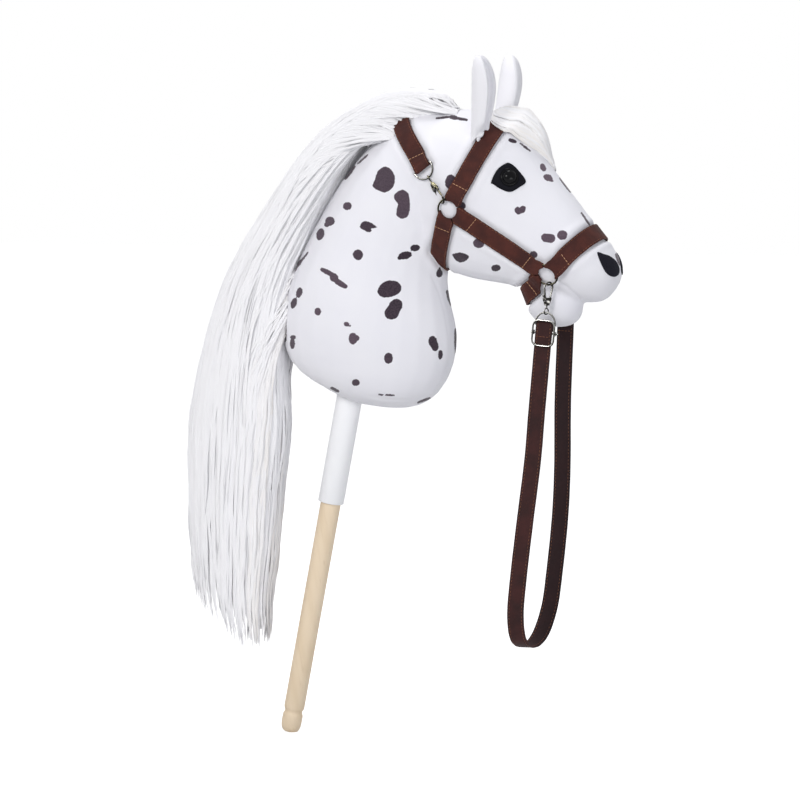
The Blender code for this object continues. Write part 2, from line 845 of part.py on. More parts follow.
def arc(radius, centre_z, start, end, count):
    return [(radius * math.cos(start + (end - start) * k / count),
             centre_z + radius * math.sin(start + (end - start) * k / count))
            for k in range(count + 1)]


def claw_mesh():
    """The cast body of a swivel snap: collar, window, shoulder and open hook."""
    outer = arc(HOOK_RADIUS + HOOK_BAR, HOOK_CENTRE, 0.0, NOSE_ANGLE, 9)
    inner = arc(HOOK_RADIUS - HOOK_BAR, HOOK_CENTRE, NOSE_ANGLE, 0.0, 8)
    hook = flat_plate([outer + inner + [
        (0.0040, BODY_TOP + 0.0010), (0.0026, BODY_TOP), (-0.0020, BODY_TOP),
        (-0.0020, BODY_TOP - 0.0010), (0.0050, BODY_TOP - 0.0010)]], HOOK_DEPTH, HOOK_BEVEL)
    body = flat_plate([[
        (-0.0054, BODY_TOP), (0.0052, BODY_TOP), (0.0050, -0.0160), (0.0027, -0.0204),
        (0.0027, BODY_FOOT), (-0.0027, BODY_FOOT), (-0.0027, -0.0204), (-0.0050, -0.0168),
        (-0.0060, -0.0150)],
        [(-0.0017, WINDOW_FLOOR), (-0.0026, WINDOW_TOP), (0.0026, WINDOW_TOP),
         (0.0017, WINDOW_FLOOR)]], BODY_DEPTH, 0.0004)
    claw = joined(body, hook)
    slot = box_mesh((-0.0075, -SLOT_HALF, -0.0175), (-0.0023, SLOT_HALF, -0.0120))
    pivot = Vector((GATE_PIVOT[0], 0.0, GATE_PIVOT[1]))
    pin_hole = rod_mesh(PIN_RADIUS + PIN_FIT, pivot - ACROSS * 0.004, pivot + ACROSS * 0.004, 10)
    shank_hole = rod_mesh(SHANK_RADIUS + CLEARANCE, Vector((0.0, 0.0, -0.0240)),
                          Vector((0.0, 0.0, WINDOW_FLOOR + 0.0005)), 10)
    return cut(claw, slot, pin_hole, shank_hole)


def gate_mesh():
    """The sprung gate with its thumb tab and the eye for its pin."""
    px, pz = GATE_PIVOT
    nose_x = HOOK_RADIUS * math.cos(NOSE_ANGLE)
    nose_z = HOOK_CENTRE + HOOK_RADIUS * math.sin(NOSE_ANGLE)
    tip_z = nose_z - CLEARANCE - 0.0003
    knuckle = [(px + 0.0015 * math.cos(a), pz + 0.0015 * math.sin(a))
               for a in [math.radians(20.0 - 40.0 * k) for k in range(6)]]
    outline = knuckle + [
        (px - 0.0016, pz + 0.0020), (px - 0.0039, pz + 0.0028), (px - 0.0040, pz + 0.0040),
        (px - 0.0019, pz + 0.0048), (nose_x - 0.0007, tip_z + 0.0001),
        (nose_x + 0.0007, tip_z - 0.0001), (px + 0.0012, pz + 0.0030)]
    gate = flat_plate([outline], GATE_DEPTH, 0.0002)
    pivot = Vector((px, 0.0, pz))
    hole = rod_mesh(PIN_RADIUS + PIN_FIT, pivot - ACROSS * 0.004, pivot + ACROSS * 0.004, 10)
    return cut(gate, hole)


def gate_pin_mesh():
    pivot = Vector((GATE_PIVOT[0], 0.0, GATE_PIVOT[1]))
    return rod_mesh(PIN_RADIUS, pivot - ACROSS * BODY_DEPTH, pivot + ACROSS * BODY_DEPTH, 10)


def swivel_eye_mesh():
    """The eye that turns in the claw: a ring, its shank and the head in the window."""
    eye = ring_mesh(EYE_RADIUS, EYE_WIRE, 16, 6)
    eye = moved(eye, Matrix.Translation((0.0, 0.0, -SNAP_LENGTH))
                @ Matrix.Rotation(EYE_TURN, 4, "Z") @ Matrix.Rotation(math.radians(90.0), 4, "X"))
    head_foot = WINDOW_FLOOR + CLEARANCE
    shank = turned([(0.0, head_foot + 0.0010), (SHANK_HEAD_RADIUS - 0.0003, head_foot + 0.0010),
                    (SHANK_HEAD_RADIUS, head_foot + 0.0006), (SHANK_HEAD_RADIUS, head_foot),
                    (SHANK_RADIUS, head_foot), (SHANK_RADIUS, -SNAP_LENGTH + EYE_RADIUS),
                    (0.0, -SNAP_LENGTH + EYE_RADIUS)], 10)
    return joined(eye, shank)


DEE_REACH = SNAP_LENGTH + EYE_RADIUS - (EYE_WIRE + RING_WIRE + CLEARANCE)
BAR_REACH = DEE_REACH + DEE_HEIGHT


def dee_mesh(strap_width):
    """A dee ring in the local XZ plane: the bar's middle at the origin, the bow upward."""
    corner = DEE_CORNER
    half = strap_width / 2.0 + DEE_SIDE_ROOM
    bow = DEE_HEIGHT - DEE_LEG - corner
    points = [(-half + corner, 0.0, 0.0), (half - corner, 0.0, 0.0), (half, 0.0, corner)]
    for k in range(11):
        turn = math.pi * k / 10
        points.append((half * math.cos(turn), 0.0, DEE_LEG + corner + bow * math.sin(turn)))
    points.append((-half, 0.0, corner))
    return tube_along([Vector(point) for point in points], RING_WIRE, closed=True)


# Reins

def smooth_route(knots, per_span):
    """Points on a Catmull-Rom curve through the knots."""
    route = []
    padded = [knots[0] * 2.0 - knots[1]] + list(knots) + [knots[-1] * 2.0 - knots[-2]]
    for i in range(1, len(padded) - 2):
        p0, p1, p2, p3 = padded[i - 1:i + 3]
        square = 2.0 * p0 - 5.0 * p1 + 4.0 * p2 - p3
        cube = 3.0 * p1 - p0 - 3.0 * p2 + p3
        for k in range(per_span):
            t = k / per_span
            route.append(0.5 * (2.0 * p1 + (p2 - p0) * t + square * t ** 2 + cube * t ** 3))
    route.append(knots[-1])
    return route


def rein_fold(bar, down, outward):
    """Middle line of a strap's end: up behind the bar, over it and down in front."""
    turn_radius = RING_WIRE + CLEARANCE + REIN_THICKNESS / 2.0
    points = [bar - outward * turn_radius + down * FOLD_BEHIND]
    for k in range(7):
        turn = math.pi * k / 6
        across = outward * (turn_radius * math.cos(turn))
        points.append(bar - across - down * (turn_radius * math.sin(turn)))
    points.append(bar + outward * turn_radius + down * FOLD_FRONT)
    return points


def ribbon(points, hints, width, thickness):
    """A flat strap along points, whose width follows a hint at each point."""
    stations = []
    for k, (point, hint) in enumerate(zip(points, hints)):
        run = (points[min(k + 1, len(points) - 1)] - points[max(k - 1, 0)]).normalized()
        flat = (hint - run * hint.dot(run)).normalized()
        normal = flat.cross(run)
        stations.append((point, flat, normal, width, thickness))
    return band(stations)


# Small soft parts

SIGHT = Vector((0.2911, -0.9521, 0.0953)).normalized()


def felt_patch(surface, head_room, rows):
    """A felt piece laid on the head; rows of (x, z) points on the middle plane are
    carried onto the right side along the slanted drawing direction."""
    inner = []
    outer = []
    columns = len(rows[0])
    for row in rows:
        for x, z in row:
            point, normal, _ = surface.hit(Vector((x, 0.0, z)) + SIGHT * 0.3, -SIGHT)
            inner.append(point - normal * 0.0008)
            outer.append(point + normal * (PLUSH_GAP + FELT_THICKNESS))
    count = len(inner)
    faces = []
    for i in range(len(rows) - 1):
        for k in range(columns - 1):
            a = i * columns + k
            quad = (a, a + 1, a + 1 + columns, a + columns)
            faces.append(quad)
            faces.append(tuple(count + v for v in reversed(quad)))
    rim = ([k for k in range(columns)]
           + [i * columns + columns - 1 for i in range(1, len(rows))]
           + [(len(rows) - 1) * columns + k for k in range(columns - 2, -1, -1)]
           + [i * columns for i in range(len(rows) - 2, 0, -1)])
    for a, b in zip(rim, rim[1:] + rim[:1]):
        faces.append((a, b, b + count, a + count))
    mesh = mesh_from(inner + outer, faces)
    work = bmesh.new()
    work.from_mesh(mesh)
    bmesh.ops.dissolve_degenerate(work, dist=0.00001, edges=work.edges)
    bmesh.ops.remove_doubles(work, verts=work.verts, dist=0.00002)
    bmesh.ops.recalc_face_normals(work, faces=work.faces)
    work.to_mesh(mesh)
    work.free()
    return cut(mesh, head_room)


EYE_PATCH_LEFT = Vector((0.2258, 0.0, 0.5998))
EYE_PATCH_RIGHT = Vector((0.2640, 0.0, 0.6024))
EYE_PATCH_UP = 0.0190
EYE_PATCH_DOWN = 0.0116
EYE_MIDDLE = Vector((0.2444, 0.0, 0.6021))
NOSTRIL_POINT = Vector((0.3414, 0.0, 0.5278))
NOSTRIL_END = Vector((0.3600, 0.0, 0.5055))
NOSTRIL_HALF_WIDTH = 0.0072


def leaf_rows(start, end, up, down, fullness, columns, rows):
    """A leaf outline between two points, as rows of (x, z) points."""
    way = end - start
    rise = Vector((-way.z, 0.0, way.x)).normalized()
    table = []
    for i in range(rows):
        share = i / (rows - 1.0)
        row = []
        for k in range(columns):
            t = 0.02 + 0.96 * k / (columns - 1.0)
            top = up * fullness(t)
            bottom = -down * fullness(t)
            point = start + way * t + rise * (bottom + (top - bottom) * share)
            row.append((point.x, point.z))
        table.append(row)
    return table


def almond(t):
    return (1.0 - abs(2.0 * t - 1.0) ** 1.9) ** 0.95


def teardrop(t):
    return 1.06 * math.sqrt(max(1.0 - t, 0.0)) * math.sin(math.pi * t / 2.0) ** 0.9 * 1.25


def ear_mesh(rooms):
    """A cupped ear, open to the front: its back edge is straight and its foot follows the head."""
    axis = EAR_TIP - EAR_FOOT
    points = []
    for share, radius in EAR_ROWS:
        back = EAR_FOOT + axis * share
        wrap = EAR_WRAP_FOOT + (EAR_WRAP_TIP - EAR_WRAP_FOOT) * max(share, 0.0)
        for k in range(EAR_COLUMNS):
            turn = math.radians(wrap) * (2.0 * k / (EAR_COLUMNS - 1.0) - 1.0)
            points.append(back + EAR_OPEN * (radius * EAR_DEPTH * (1.0 - math.cos(turn)))
                          + EAR_SIDE * (radius * EAR_WIDTH * math.sin(turn)))
    faces = []
    for i in range(len(EAR_ROWS) - 1):
        for k in range(EAR_COLUMNS - 1):
            a = i * EAR_COLUMNS + k
            faces.append((a, a + 1, a + 1 + EAR_COLUMNS, a + EAR_COLUMNS))
    mesh = bpy.data.meshes.new("ear")
    mesh.from_pydata([tuple(point) for point in points], [], faces)
    shell = with_modifiers(mesh, [
        ("SOLIDIFY", {"thickness": EAR_SHELL, "offset": 0.0, "use_even_offset": False}),
        ("SUBSURF", {"levels": 1, "render_levels": 1})])
    return cut(shell, *rooms)


def mane_mesh(rooms):
    """The fall of yarn as one body with broad locks and a ragged foot."""
    rings = []
    for number, (x, z, degrees, away, toward, half_width) in enumerate(MANE_SECTIONS):
        turn = math.radians(degrees)
        normal = Vector((math.sin(turn), 0.0, -math.cos(turn)))
        fall = Vector((math.cos(turn), 0.0, math.sin(turn)))
        share = number / (len(MANE_SECTIONS) - 1.0)
        depth = MANE_LOCK_DEPTH * min(1.0, 3.0 * share)
        ring = []
        for k in range(MANE_SIDES):
            around = math.tau * k / MANE_SIDES
            lock = math.cos(MANE_LOCKS * around + 1.2 * share)
            size = 1.0 + depth * (lock - 1.0) / 2.0
            drop = fall * (0.014 * lock * max(0.0, share - 0.80) / 0.20)
            reach = away if math.cos(around) > 0.0 else toward
            ring.append(Vector((x, 0.0, z)) + normal * (reach * size * math.cos(around))
                        + ACROSS * (half_width * size * math.sin(around)) + drop)
        rings.append(ring)
    first = Vector((MANE_SECTIONS[0][0] + 0.006, 0.0, MANE_SECTIONS[0][1]))
    last = Vector((MANE_SECTIONS[-1][0], 0.0, MANE_SECTIONS[-1][1] - MANE_TIP_DROP))
    return cut(loft(rings, first, last), *rooms)


def forelock_mesh(surface, rooms):
    """Yarn that falls over the forehead between the ears."""
    columns = 11
    inner = []
    outer = []
    for along, near, far, thickness in FORELOCK_STATIONS:
        core = HEAD_START + HEAD_WAY * along
        for k in range(columns):
            share = 2.0 * k / (columns - 1.0) - 1.0
            turn = math.radians(near + (far - near) * (share + 1.0) / 2.0)
            outward = HEAD_UP * math.cos(turn) + ACROSS * math.sin(turn)
            found = surface.hit(core + outward * 0.3, -outward)
            lock = 1.0 + 0.12 * math.cos(5.0 * math.pi * share)
            rise = 0.0012 + (thickness - 0.0012) * (1.0 - share ** 2) ** 0.6 * lock
            inner.append(found[0] - outward * 0.0020)
            outer.append(found[0] + outward * (PLUSH_GAP + rise))
    count = len(inner)
    rows = len(FORELOCK_STATIONS)
    faces = []
    for i in range(rows - 1):
        for k in range(columns - 1):
            a = i * columns + k
            quad = (a, a + 1, a + 1 + columns, a + columns)
            faces.append(quad)
            faces.append(tuple(count + v for v in reversed(quad)))
    rim = ([k for k in range(columns)]
           + [i * columns + columns - 1 for i in range(1, rows)]
           + [(rows - 1) * columns + k for k in range(columns - 2, -1, -1)]
           + [i * columns for i in range(rows - 2, 0, -1)])
    for a, b in zip(rim, rim[1:] + rim[:1]):
        faces.append((a, b, b + count, a + count))
    return cut(mesh_from(inner + outer, faces), *rooms)


# Stick and socket tube

STICK_WAY = Vector((math.sin(STICK_TILT), 0.0, math.cos(STICK_TILT)))
STICK_MATRIX = Matrix.Rotation(STICK_TILT, 4, "Y")


def stick_mesh():
    knob_top = STICK_KNOB_HEIGHT
    groove_top = knob_top + STICK_GROOVE_HEIGHT
    profile = [(0.0, STICK_LENGTH), (STICK_RADIUS - STICK_EDGE, STICK_LENGTH),
               (STICK_RADIUS, STICK_LENGTH - STICK_EDGE),
               (STICK_RADIUS, groove_top + STICK_GROOVE_SLOPE),
               (STICK_GROOVE_RADIUS, groove_top), (STICK_GROOVE_RADIUS, knob_top),
               (STICK_RADIUS - 0.0004, knob_top - 0.0018), (STICK_RADIUS, 0.0120),
               (STICK_RADIUS - 0.0006, 0.0062), (STICK_RADIUS - 0.0026, 0.0022),
               (STICK_FOOT_FLAT, 0.0), (0.0, 0.0)]
    return moved(turned(profile, 24), STICK_MATRIX)


TUBE_BORE = STICK_RADIUS + TUBE_FIT
TUBE_OUTER = TUBE_BORE + TUBE_WALL
TUBE_TOP = STICK_LENGTH + CLEARANCE + TUBE_CAP_THICKNESS


def tube_mesh():
    profile = [(TUBE_OUTER, TUBE_TOP), (TUBE_OUTER, STICK_BARE_LENGTH + TUBE_EDGE),
               (TUBE_OUTER - TUBE_EDGE, STICK_BARE_LENGTH), (TUBE_BORE, STICK_BARE_LENGTH),
               (TUBE_BORE, TUBE_TOP), (TUBE_OUTER, TUBE_TOP)]
    return moved(turned(profile, 24), STICK_MATRIX)


def tube_cap_mesh():
    """The plug that closes the tube's upper end and stops the stick."""
    plug = TUBE_BORE - PIN_FIT
    foot = TUBE_TOP - TUBE_CAP_THICKNESS
    profile = [(0.0, TUBE_TOP + TUBE_CAP_RIM), (TUBE_OUTER, TUBE_TOP + TUBE_CAP_RIM),
               (TUBE_OUTER, TUBE_TOP + CLEARANCE), (plug, TUBE_TOP + CLEARANCE),
               (plug, foot), (0.0, foot)]
    return moved(turned(profile, 24), STICK_MATRIX)


def tube_room_mesh():
    """The bore in the neck's stuffing that holds the tube and its cap."""
    top = TUBE_TOP + TUBE_CAP_RIM + CLEARANCE
    foot = STICK_BARE_LENGTH - TUBE_ROOM_BELOW
    radius = TUBE_OUTER + CLEARANCE
    profile = [(0.0, top), (radius, top), (radius, foot), (0.0, foot)]
    return moved(turned(profile, 24), STICK_MATRIX)


# Plastic eyes

class EyeSeat:
    """Where the right eye's stem enters the head, square to the felt."""

    def __init__(self, head, patch):
        spot, normal, _ = head.hit(EYE_MIDDLE + SIGHT * 0.3, -SIGHT)
        self.normal = normal
        self.matrix = frame_matrix(spot, UP, normal)
        heights = []
        for k in range(12):
            turn = math.tau * k / 12
            for share in (0.5, 1.0):
                offset = self.matrix.to_3x3() @ Vector((math.cos(turn), math.sin(turn), 0.0))
                origin = spot + offset * (EYE_DOME_RADIUS * share) + normal * 0.05
                found = patch.hit(origin, -normal) or head.hit(origin, -normal)
                heights.append((found[0] - spot).dot(normal))
        self.back = max(heights) + CLEARANCE

    def dome(self):
        back = self.back
        stem_foot = back - EYE_STEM_LENGTH
        crown = EYE_DOME_HEIGHT - EYE_DOME_RIM
        profile = [(0.0, back + EYE_DOME_HEIGHT)]
        for degrees in range(15, 91, 15):
            turn = math.radians(degrees)
            profile.append((EYE_DOME_RADIUS * math.sin(turn),
                            back + EYE_DOME_RIM + crown * math.cos(turn)))
        profile += [(EYE_DOME_RADIUS - EYE_DOME_RIM / 2.0, back), (EYE_STEM_RADIUS, back),
                    (EYE_STEM_RADIUS, stem_foot + EYE_STEM_EDGE),
                    (EYE_STEM_RADIUS - EYE_STEM_EDGE, stem_foot), (0.0, stem_foot)]
        return moved(turned(profile, 20), self.matrix)

    def washer(self):
        top = self.back - WASHER_DEPTH
        hole = EYE_STEM_RADIUS + CLEARANCE
        profile = [(WASHER_RADIUS, top), (WASHER_RADIUS, top - WASHER_THICKNESS),
                   (hole, top - WASHER_THICKNESS), (hole, top), (WASHER_RADIUS, top)]
        return moved(turned(profile, 16), self.matrix)

    def room(self):
        """The stem's hole and the washer's pocket behind the fabric."""
        top = self.back - WASHER_DEPTH + CLEARANCE
        foot = top - WASHER_THICKNESS - 2.0 * CLEARANCE
        hole = EYE_STEM_RADIUS + CLEARANCE
        pocket = WASHER_RADIUS + CLEARANCE
        stem_foot = self.back - EYE_STEM_LENGTH - CLEARANCE
        profile = [(0.0, self.back + 0.010), (hole, self.back + 0.010), (hole, top), (pocket, top),
                   (pocket, foot), (hole, foot), (hole, stem_foot), (0.0, stem_foot)]
        return moved(turned(profile, 16), self.matrix)


# Assembly

def make_materials():
    return {
        "plush": make_material("plush_white", WHITE_PLUSH, 0.95),
        "yarn": make_material("yarn_white", YARN_WHITE, 0.95),
        "halter": make_material("halter_web", HALTER_BROWN, 0.8),
        "rein": make_material("rein_web", REIN_BROWN, 0.8),
        "steel": make_material("steel", STEEL, 0.28, 1.0),
        "pine": make_material("pine", PINE, 0.6),
        "plastic": make_material("white_plastic", WHITE_PLUSH, 0.4),
        "felt": make_material("black_felt", BLACK, 0.95),
        "gloss": make_material("black_gloss", BLACK, 0.1),
    }


class Forms:
    """The stuffed forms before anything is cut from them, and their skins."""

    def __init__(self):
        self.head = head_form()
        self.neck = neck_form()
        self.chin = chin_form()
        self.head_room = head_form(PLUSH_GAP)
        self.neck_room = neck_form(PLUSH_GAP)
        self.head_skin = Surface(self.head)
        self.chin_skin = Surface(self.head, self.chin)
        self.whole_skin = Surface(self.head, self.neck)


def strap_room(stations, side_room, face_room):
    """The space of a strap with some room round it."""
    return band([(middle, width_way, normal, width + 2.0 * side_room, thickness + 2.0 * face_room)
                 for middle, width_way, normal, width, thickness in stations])


class Halter:
    """Where the rings, straps and snap hooks lie on the head."""

    def __init__(self, forms):
        self.cheek = Ring(forms.head_skin, CHEEK_RING)
        self.muzzle = Ring(forms.head_skin, MUZZLE_RING)
        cheek = self.cheek
        muzzle = self.muzzle
        self.brow = over_stations(forms.head_skin, cheek, BROW_TOP, BROW_CORE, 16)
        self.crown = over_stations(forms.whole_skin, cheek, CROWN_TOP, CROWN_CORE, 18)
        self.throat = over_stations(forms.head_skin, cheek, THROAT_LOW, THROAT_CORE, 14)
        self.nose = over_stations(forms.head_skin, muzzle, NOSE_TOP, NOSE_CORE, 12)
        self.chin = over_stations(forms.chin_skin, muzzle, CHIN_LOW, CHIN_CORE, 12)
        self.side = side_stations(forms.head_skin, cheek, muzzle, 5)
        self.brow_angle = angle_to(cheek, BROW_TOP)
        self.crown_angle = angle_to(cheek, CROWN_TOP)
        self.side_angle = angle_to(cheek, MUZZLE_RING)
        self.throat_angle = angle_to(cheek, THROAT_LOW)
        self.nose_angle = angle_to(muzzle, NOSE_TOP)
        self.back_angle = angle_to(muzzle, CHEEK_RING)
        self.chin_angle = angle_to(muzzle, CHIN_LOW) + math.tau
        self.find_crown_end()
        self.throat_frame = frame_matrix(self.throat_wire, -cheek.normal, self.snap_up)
        self.throat_snap = self.throat_frame @ Matrix.Rotation(THROAT_TURN, 4, "Z")
        self.rein_wire = muzzle.wire_point(-UP)

    def find_crown_end(self):
        """The crown strap's right end stops at a dee, one snap hook away from the ring."""
        way = Vector((CROWN_TOP.x - self.cheek.centre.x, 0.0, CROWN_TOP.z - self.cheek.centre.z))
        self.throat_wire = self.cheek.wire_point(way)
        raised = (SLEEVE_THICKNESS - WEBBING_THICKNESS) / 2.0
        for first, second in zip(self.crown[:-1], self.crown[1:]):
            start = first[0] + first[2] * raised
            end = second[0] + second[2] * raised
            near = (start - self.throat_wire).length
            far = (end - self.throat_wire).length
            if near <= BAR_REACH < far:
                share = (BAR_REACH - near) / (far - near)
                self.crown_bar = start.lerp(end, share)
                width_way = first[1].lerp(second[1], share)
                normal = first[2].lerp(second[2], share)
                break
        self.snap_up = (self.throat_wire - self.crown_bar).normalized()
        width_way = (width_way - self.snap_up * width_way.dot(self.snap_up)).normalized()
        normal = normal - self.snap_up * normal.dot(self.snap_up)
        normal = (normal - width_way * normal.dot(width_way)).normalized()
        self.bar_way = width_way
        self.bar_normal = normal

    def crown_stations(self):
        """The whole crown strap: a sleeve on the right dee, over the crest, to the left ring."""
        start = [(self.crown_bar - self.snap_up * reach, self.bar_way, self.bar_normal,
                  WEBBING_WIDTH, thickness)
                 for reach, thickness in ((-SLEEVE_HALF, SLEEVE_THICKNESS),
                                          (SLEEVE_HALF, SLEEVE_THICKNESS),
                                          (SLEEVE_HALF + SLEEVE_REACH, WEBBING_THICKNESS))]
        rest = [station for station in self.crown
                if (station[0] - self.throat_wire).length > BAR_REACH + DEE_BLEND]
        left = [mirror_station(station) for station in reversed(self.crown[:-1])]
        return start + eased(start[-1], rest[0], 1) + rest + left, rest + left

    def press_rooms(self):
        """The hollows that the throat snap presses into the plush."""
        half_width = HOOK_RADIUS + HOOK_BAR + 2.0 * CLEARANCE
        half_depth = BODY_DEPTH + PLUSH_GAP
        claw_room = box_mesh((-half_width, -half_depth, BODY_FOOT - 0.0030),
                             (half_width, half_depth, HOOK_TOP + HOOK_BAR + PLUSH_GAP))
        half = EYE_RADIUS + EYE_WIRE + CLEARANCE
        eye_room = box_mesh((-half, -half, -SNAP_LENGTH - half), (half, half, BODY_FOOT))
        return moved(claw_room, self.throat_snap), moved(eye_room, self.throat_frame)


def both(mesh):
    """A cutter on the right side and its mirror image."""
    return mesh, mirrored(mesh)


def hook_strip(half_width, front, low, high, frame):
    """The strip of a ring that a hook needs, which webbing keeps clear of."""
    return moved(box_mesh((-half_width, -0.012, low), (front, 0.012, high)), frame)


def crown_strap_mesh(halter):
    stations, _ = halter.crown_stations()
    strap = band(stations)
    channel = rod_mesh(RING_WIRE + CLEARANCE, halter.crown_bar - halter.bar_way * WEBBING_WIDTH,
                       halter.crown_bar + halter.bar_way * WEBBING_WIDTH, 10)
    for other in (halter.brow_angle, halter.throat_angle + math.tau):
        strap = sector_trim(strap, halter.cheek, halter.crown_angle, other, mirror=True)
    return cut(strap, channel, mirrored(halter.cheek.room()))


def browband_mesh(halter):
    strap = band(both_sides(halter.brow))
    for mirror in (False, True):
        strap = sector_trim(strap, halter.cheek, halter.brow_angle, halter.side_angle, mirror)
    strap = sector_trim(strap, halter.cheek, halter.brow_angle, halter.crown_angle, mirror=True)
    return cut(strap, *both(halter.cheek.room()), halter.press_rooms()[0])


def throat_strap_mesh(halter):
    strap = band(both_sides(halter.throat))
    for mirror in (False, True):
        strap = sector_trim(strap, halter.cheek, halter.throat_angle, halter.side_angle, mirror)
    strap = sector_trim(strap, halter.cheek, halter.throat_angle + math.tau,
                        halter.crown_angle, mirror=True)
    return cut(strap, *both(halter.cheek.room()))


def cheek_strap_mesh(halter):
    strap = band(halter.side)
    strap = sector_trim(strap, halter.cheek, halter.side_angle, halter.brow_angle)
    strap = sector_trim(strap, halter.cheek, halter.side_angle, halter.throat_angle)
    strap = sector_trim(strap, halter.muzzle, halter.back_angle, halter.nose_angle)
    strap = sector_trim(strap, halter.muzzle, halter.back_angle, halter.chin_angle)
    return cut(strap, halter.cheek.room(), halter.muzzle.room())


def noseband_mesh(halter):
    strap = band(both_sides(halter.nose))
    for mirror in (False, True):
        strap = sector_trim(strap, halter.muzzle, halter.nose_angle, halter.back_angle, mirror)
    return cut(strap, *both(halter.muzzle.room()))


def chin_strap_mesh(halter):
    strap = band(both_sides(halter.chin))
    for mirror in (False, True):
        strap = sector_trim(strap, halter.muzzle, halter.chin_angle, halter.back_angle, mirror)
    way = down_way(REIN_LEAN_RIGHT + SWING_BACK)
    strip = hook_strip(HOOK_STRIP, 0.030, -0.030, 0.030,
                       frame_matrix(halter.rein_wire, ACROSS, -way))
    return cut(strap, *both(strip), *both(halter.muzzle.room()))


def down_way(lean):
    """The direction in which a strap hangs when it leans back by an angle."""
    return Vector((-math.sin(lean), 0.0, -math.cos(lean)))


def build_stick(paint):
    put("stick", stick_mesh(), paint["pine"], None)


def build_socket(paint, horse):
    put("socket_tube", tube_mesh(), paint["plastic"], horse)
    put("tube_cap", tube_cap_mesh(), paint["plastic"], horse)


def build_plush(paint, horse, forms, halter, seat):
    presses = halter.press_rooms()
    throat_room = strap_room(both_sides(halter.throat), THROAT_ROOM, THROAT_ROOM)
    brow_room = strap_room(both_sides(halter.brow), 2.0 * CLEARANCE, 2.0 * CLEARANCE)
    head = cut(forms.head, *presses, *both(seat.room()), throat_room)
    neck = cut(forms.neck, forms.head_room, throat_room, tube_room_mesh(), *presses)
    put("neck", neck, paint["plush"], horse)
    put("head", head, paint["plush"], horse)
    put("chin", cut(forms.chin, forms.head_room), paint["plush"], horse)
    ear = ear_mesh([forms.head_room, brow_room])
    put("ear_right", ear, paint["plush"], horse)
    put("ear_left", mirrored(ear), paint["plush"], horse)


def build_yarn(paint, horse, forms, halter):
    _, crown_free = halter.crown_stations()
    crown_room = strap_room(crown_free, 2.0 * CLEARANCE, 2.0 * CLEARANCE)
    mane = mane_mesh([forms.neck_room, forms.head_room, crown_room])
    put("mane", mane, paint["yarn"], horse)
    brow_room = strap_room(both_sides(halter.brow), 2.0 * CLEARANCE, 2.0 * CLEARANCE)
    forelock = forelock_mesh(forms.head_skin, [forms.head_room, brow_room])
    put("forelock", forelock, paint["yarn"], horse)


def eye_patch_mesh(forms):
    rows = leaf_rows(EYE_PATCH_LEFT, EYE_PATCH_RIGHT, EYE_PATCH_UP, EYE_PATCH_DOWN, almond, 13, 5)
    return felt_patch(forms.head_skin, forms.head_room, rows)


def nostril_mesh(forms):
    rows = leaf_rows(NOSTRIL_POINT, NOSTRIL_END, NOSTRIL_HALF_WIDTH, NOSTRIL_HALF_WIDTH,
                     teardrop, 11, 5)
    return felt_patch(forms.head_skin, forms.head_room, rows)


def put_pair(name, mesh, material, axis):
    """A piece on the right side and its mirror image on the left."""
    put(name + "_right", mesh, material, axis)
    put(name + "_left", mirrored(mesh), material, axis)


def build_face(paint, horse, forms, patch, seat):
    put_pair("eye_patch", cut(patch, seat.room()), paint["felt"], horse)
    put_pair("eye", seat.dome(), paint["gloss"], horse)
    put_pair("eye_washer", seat.washer(), paint["plastic"], horse)
    put_pair("nostril", nostril_mesh(forms), paint["felt"], horse)


def build_halter(paint, horse, halter):
    put_pair("cheek_ring", halter.cheek.mesh(), paint["steel"], horse)
    put_pair("muzzle_ring", halter.muzzle.mesh(), paint["steel"], horse)
    put("crown_strap", crown_strap_mesh(halter), paint["halter"], horse)
    put("browband", browband_mesh(halter), paint["halter"], horse)
    put("throat_strap", throat_strap_mesh(halter), paint["halter"], horse)
    put_pair("cheek_strap", cheek_strap_mesh(halter), paint["halter"], horse)
    put("noseband", noseband_mesh(halter), paint["halter"], horse)
    put("chin_strap", chin_strap_mesh(halter), paint["halter"], horse)


def build_snap(names, paint, frame, turn, claw_axis, eye_axis):
    """One snap hook from its claw, pin, eye and gate; the gate rides on the claw."""
    claw, pin, eye, gate = names
    turned_frame = frame @ Matrix.Rotation(turn, 4, "Z")
    steel = paint["steel"]
    put(claw, moved(claw_mesh(), turned_frame), steel, claw_axis)
    put(pin, moved(gate_pin_mesh(), turned_frame), steel, claw_axis)
    put(eye, moved(swivel_eye_mesh(), frame), steel, eye_axis)
    pivot = turned_frame @ Vector((GATE_PIVOT[0], 0.0, GATE_PIVOT[1]))
    gate_axis = add_axis(gate + "_axis", pivot, claw_axis)
    put(gate, moved(gate_mesh(), turned_frame), steel, gate_axis)


def build_throat_snap(paint, horse, halter):
    names = ("throat_claw", "throat_gate_pin", "throat_swivel_eye", "throat_gate")
    build_snap(names, paint, halter.throat_frame, THROAT_TURN, horse, horse)
    frame = frame_matrix(halter.crown_bar, -halter.bar_normal, halter.snap_up)
    put("crown_dee", moved(dee_mesh(WEBBING_WIDTH), frame), paint["steel"], horse)


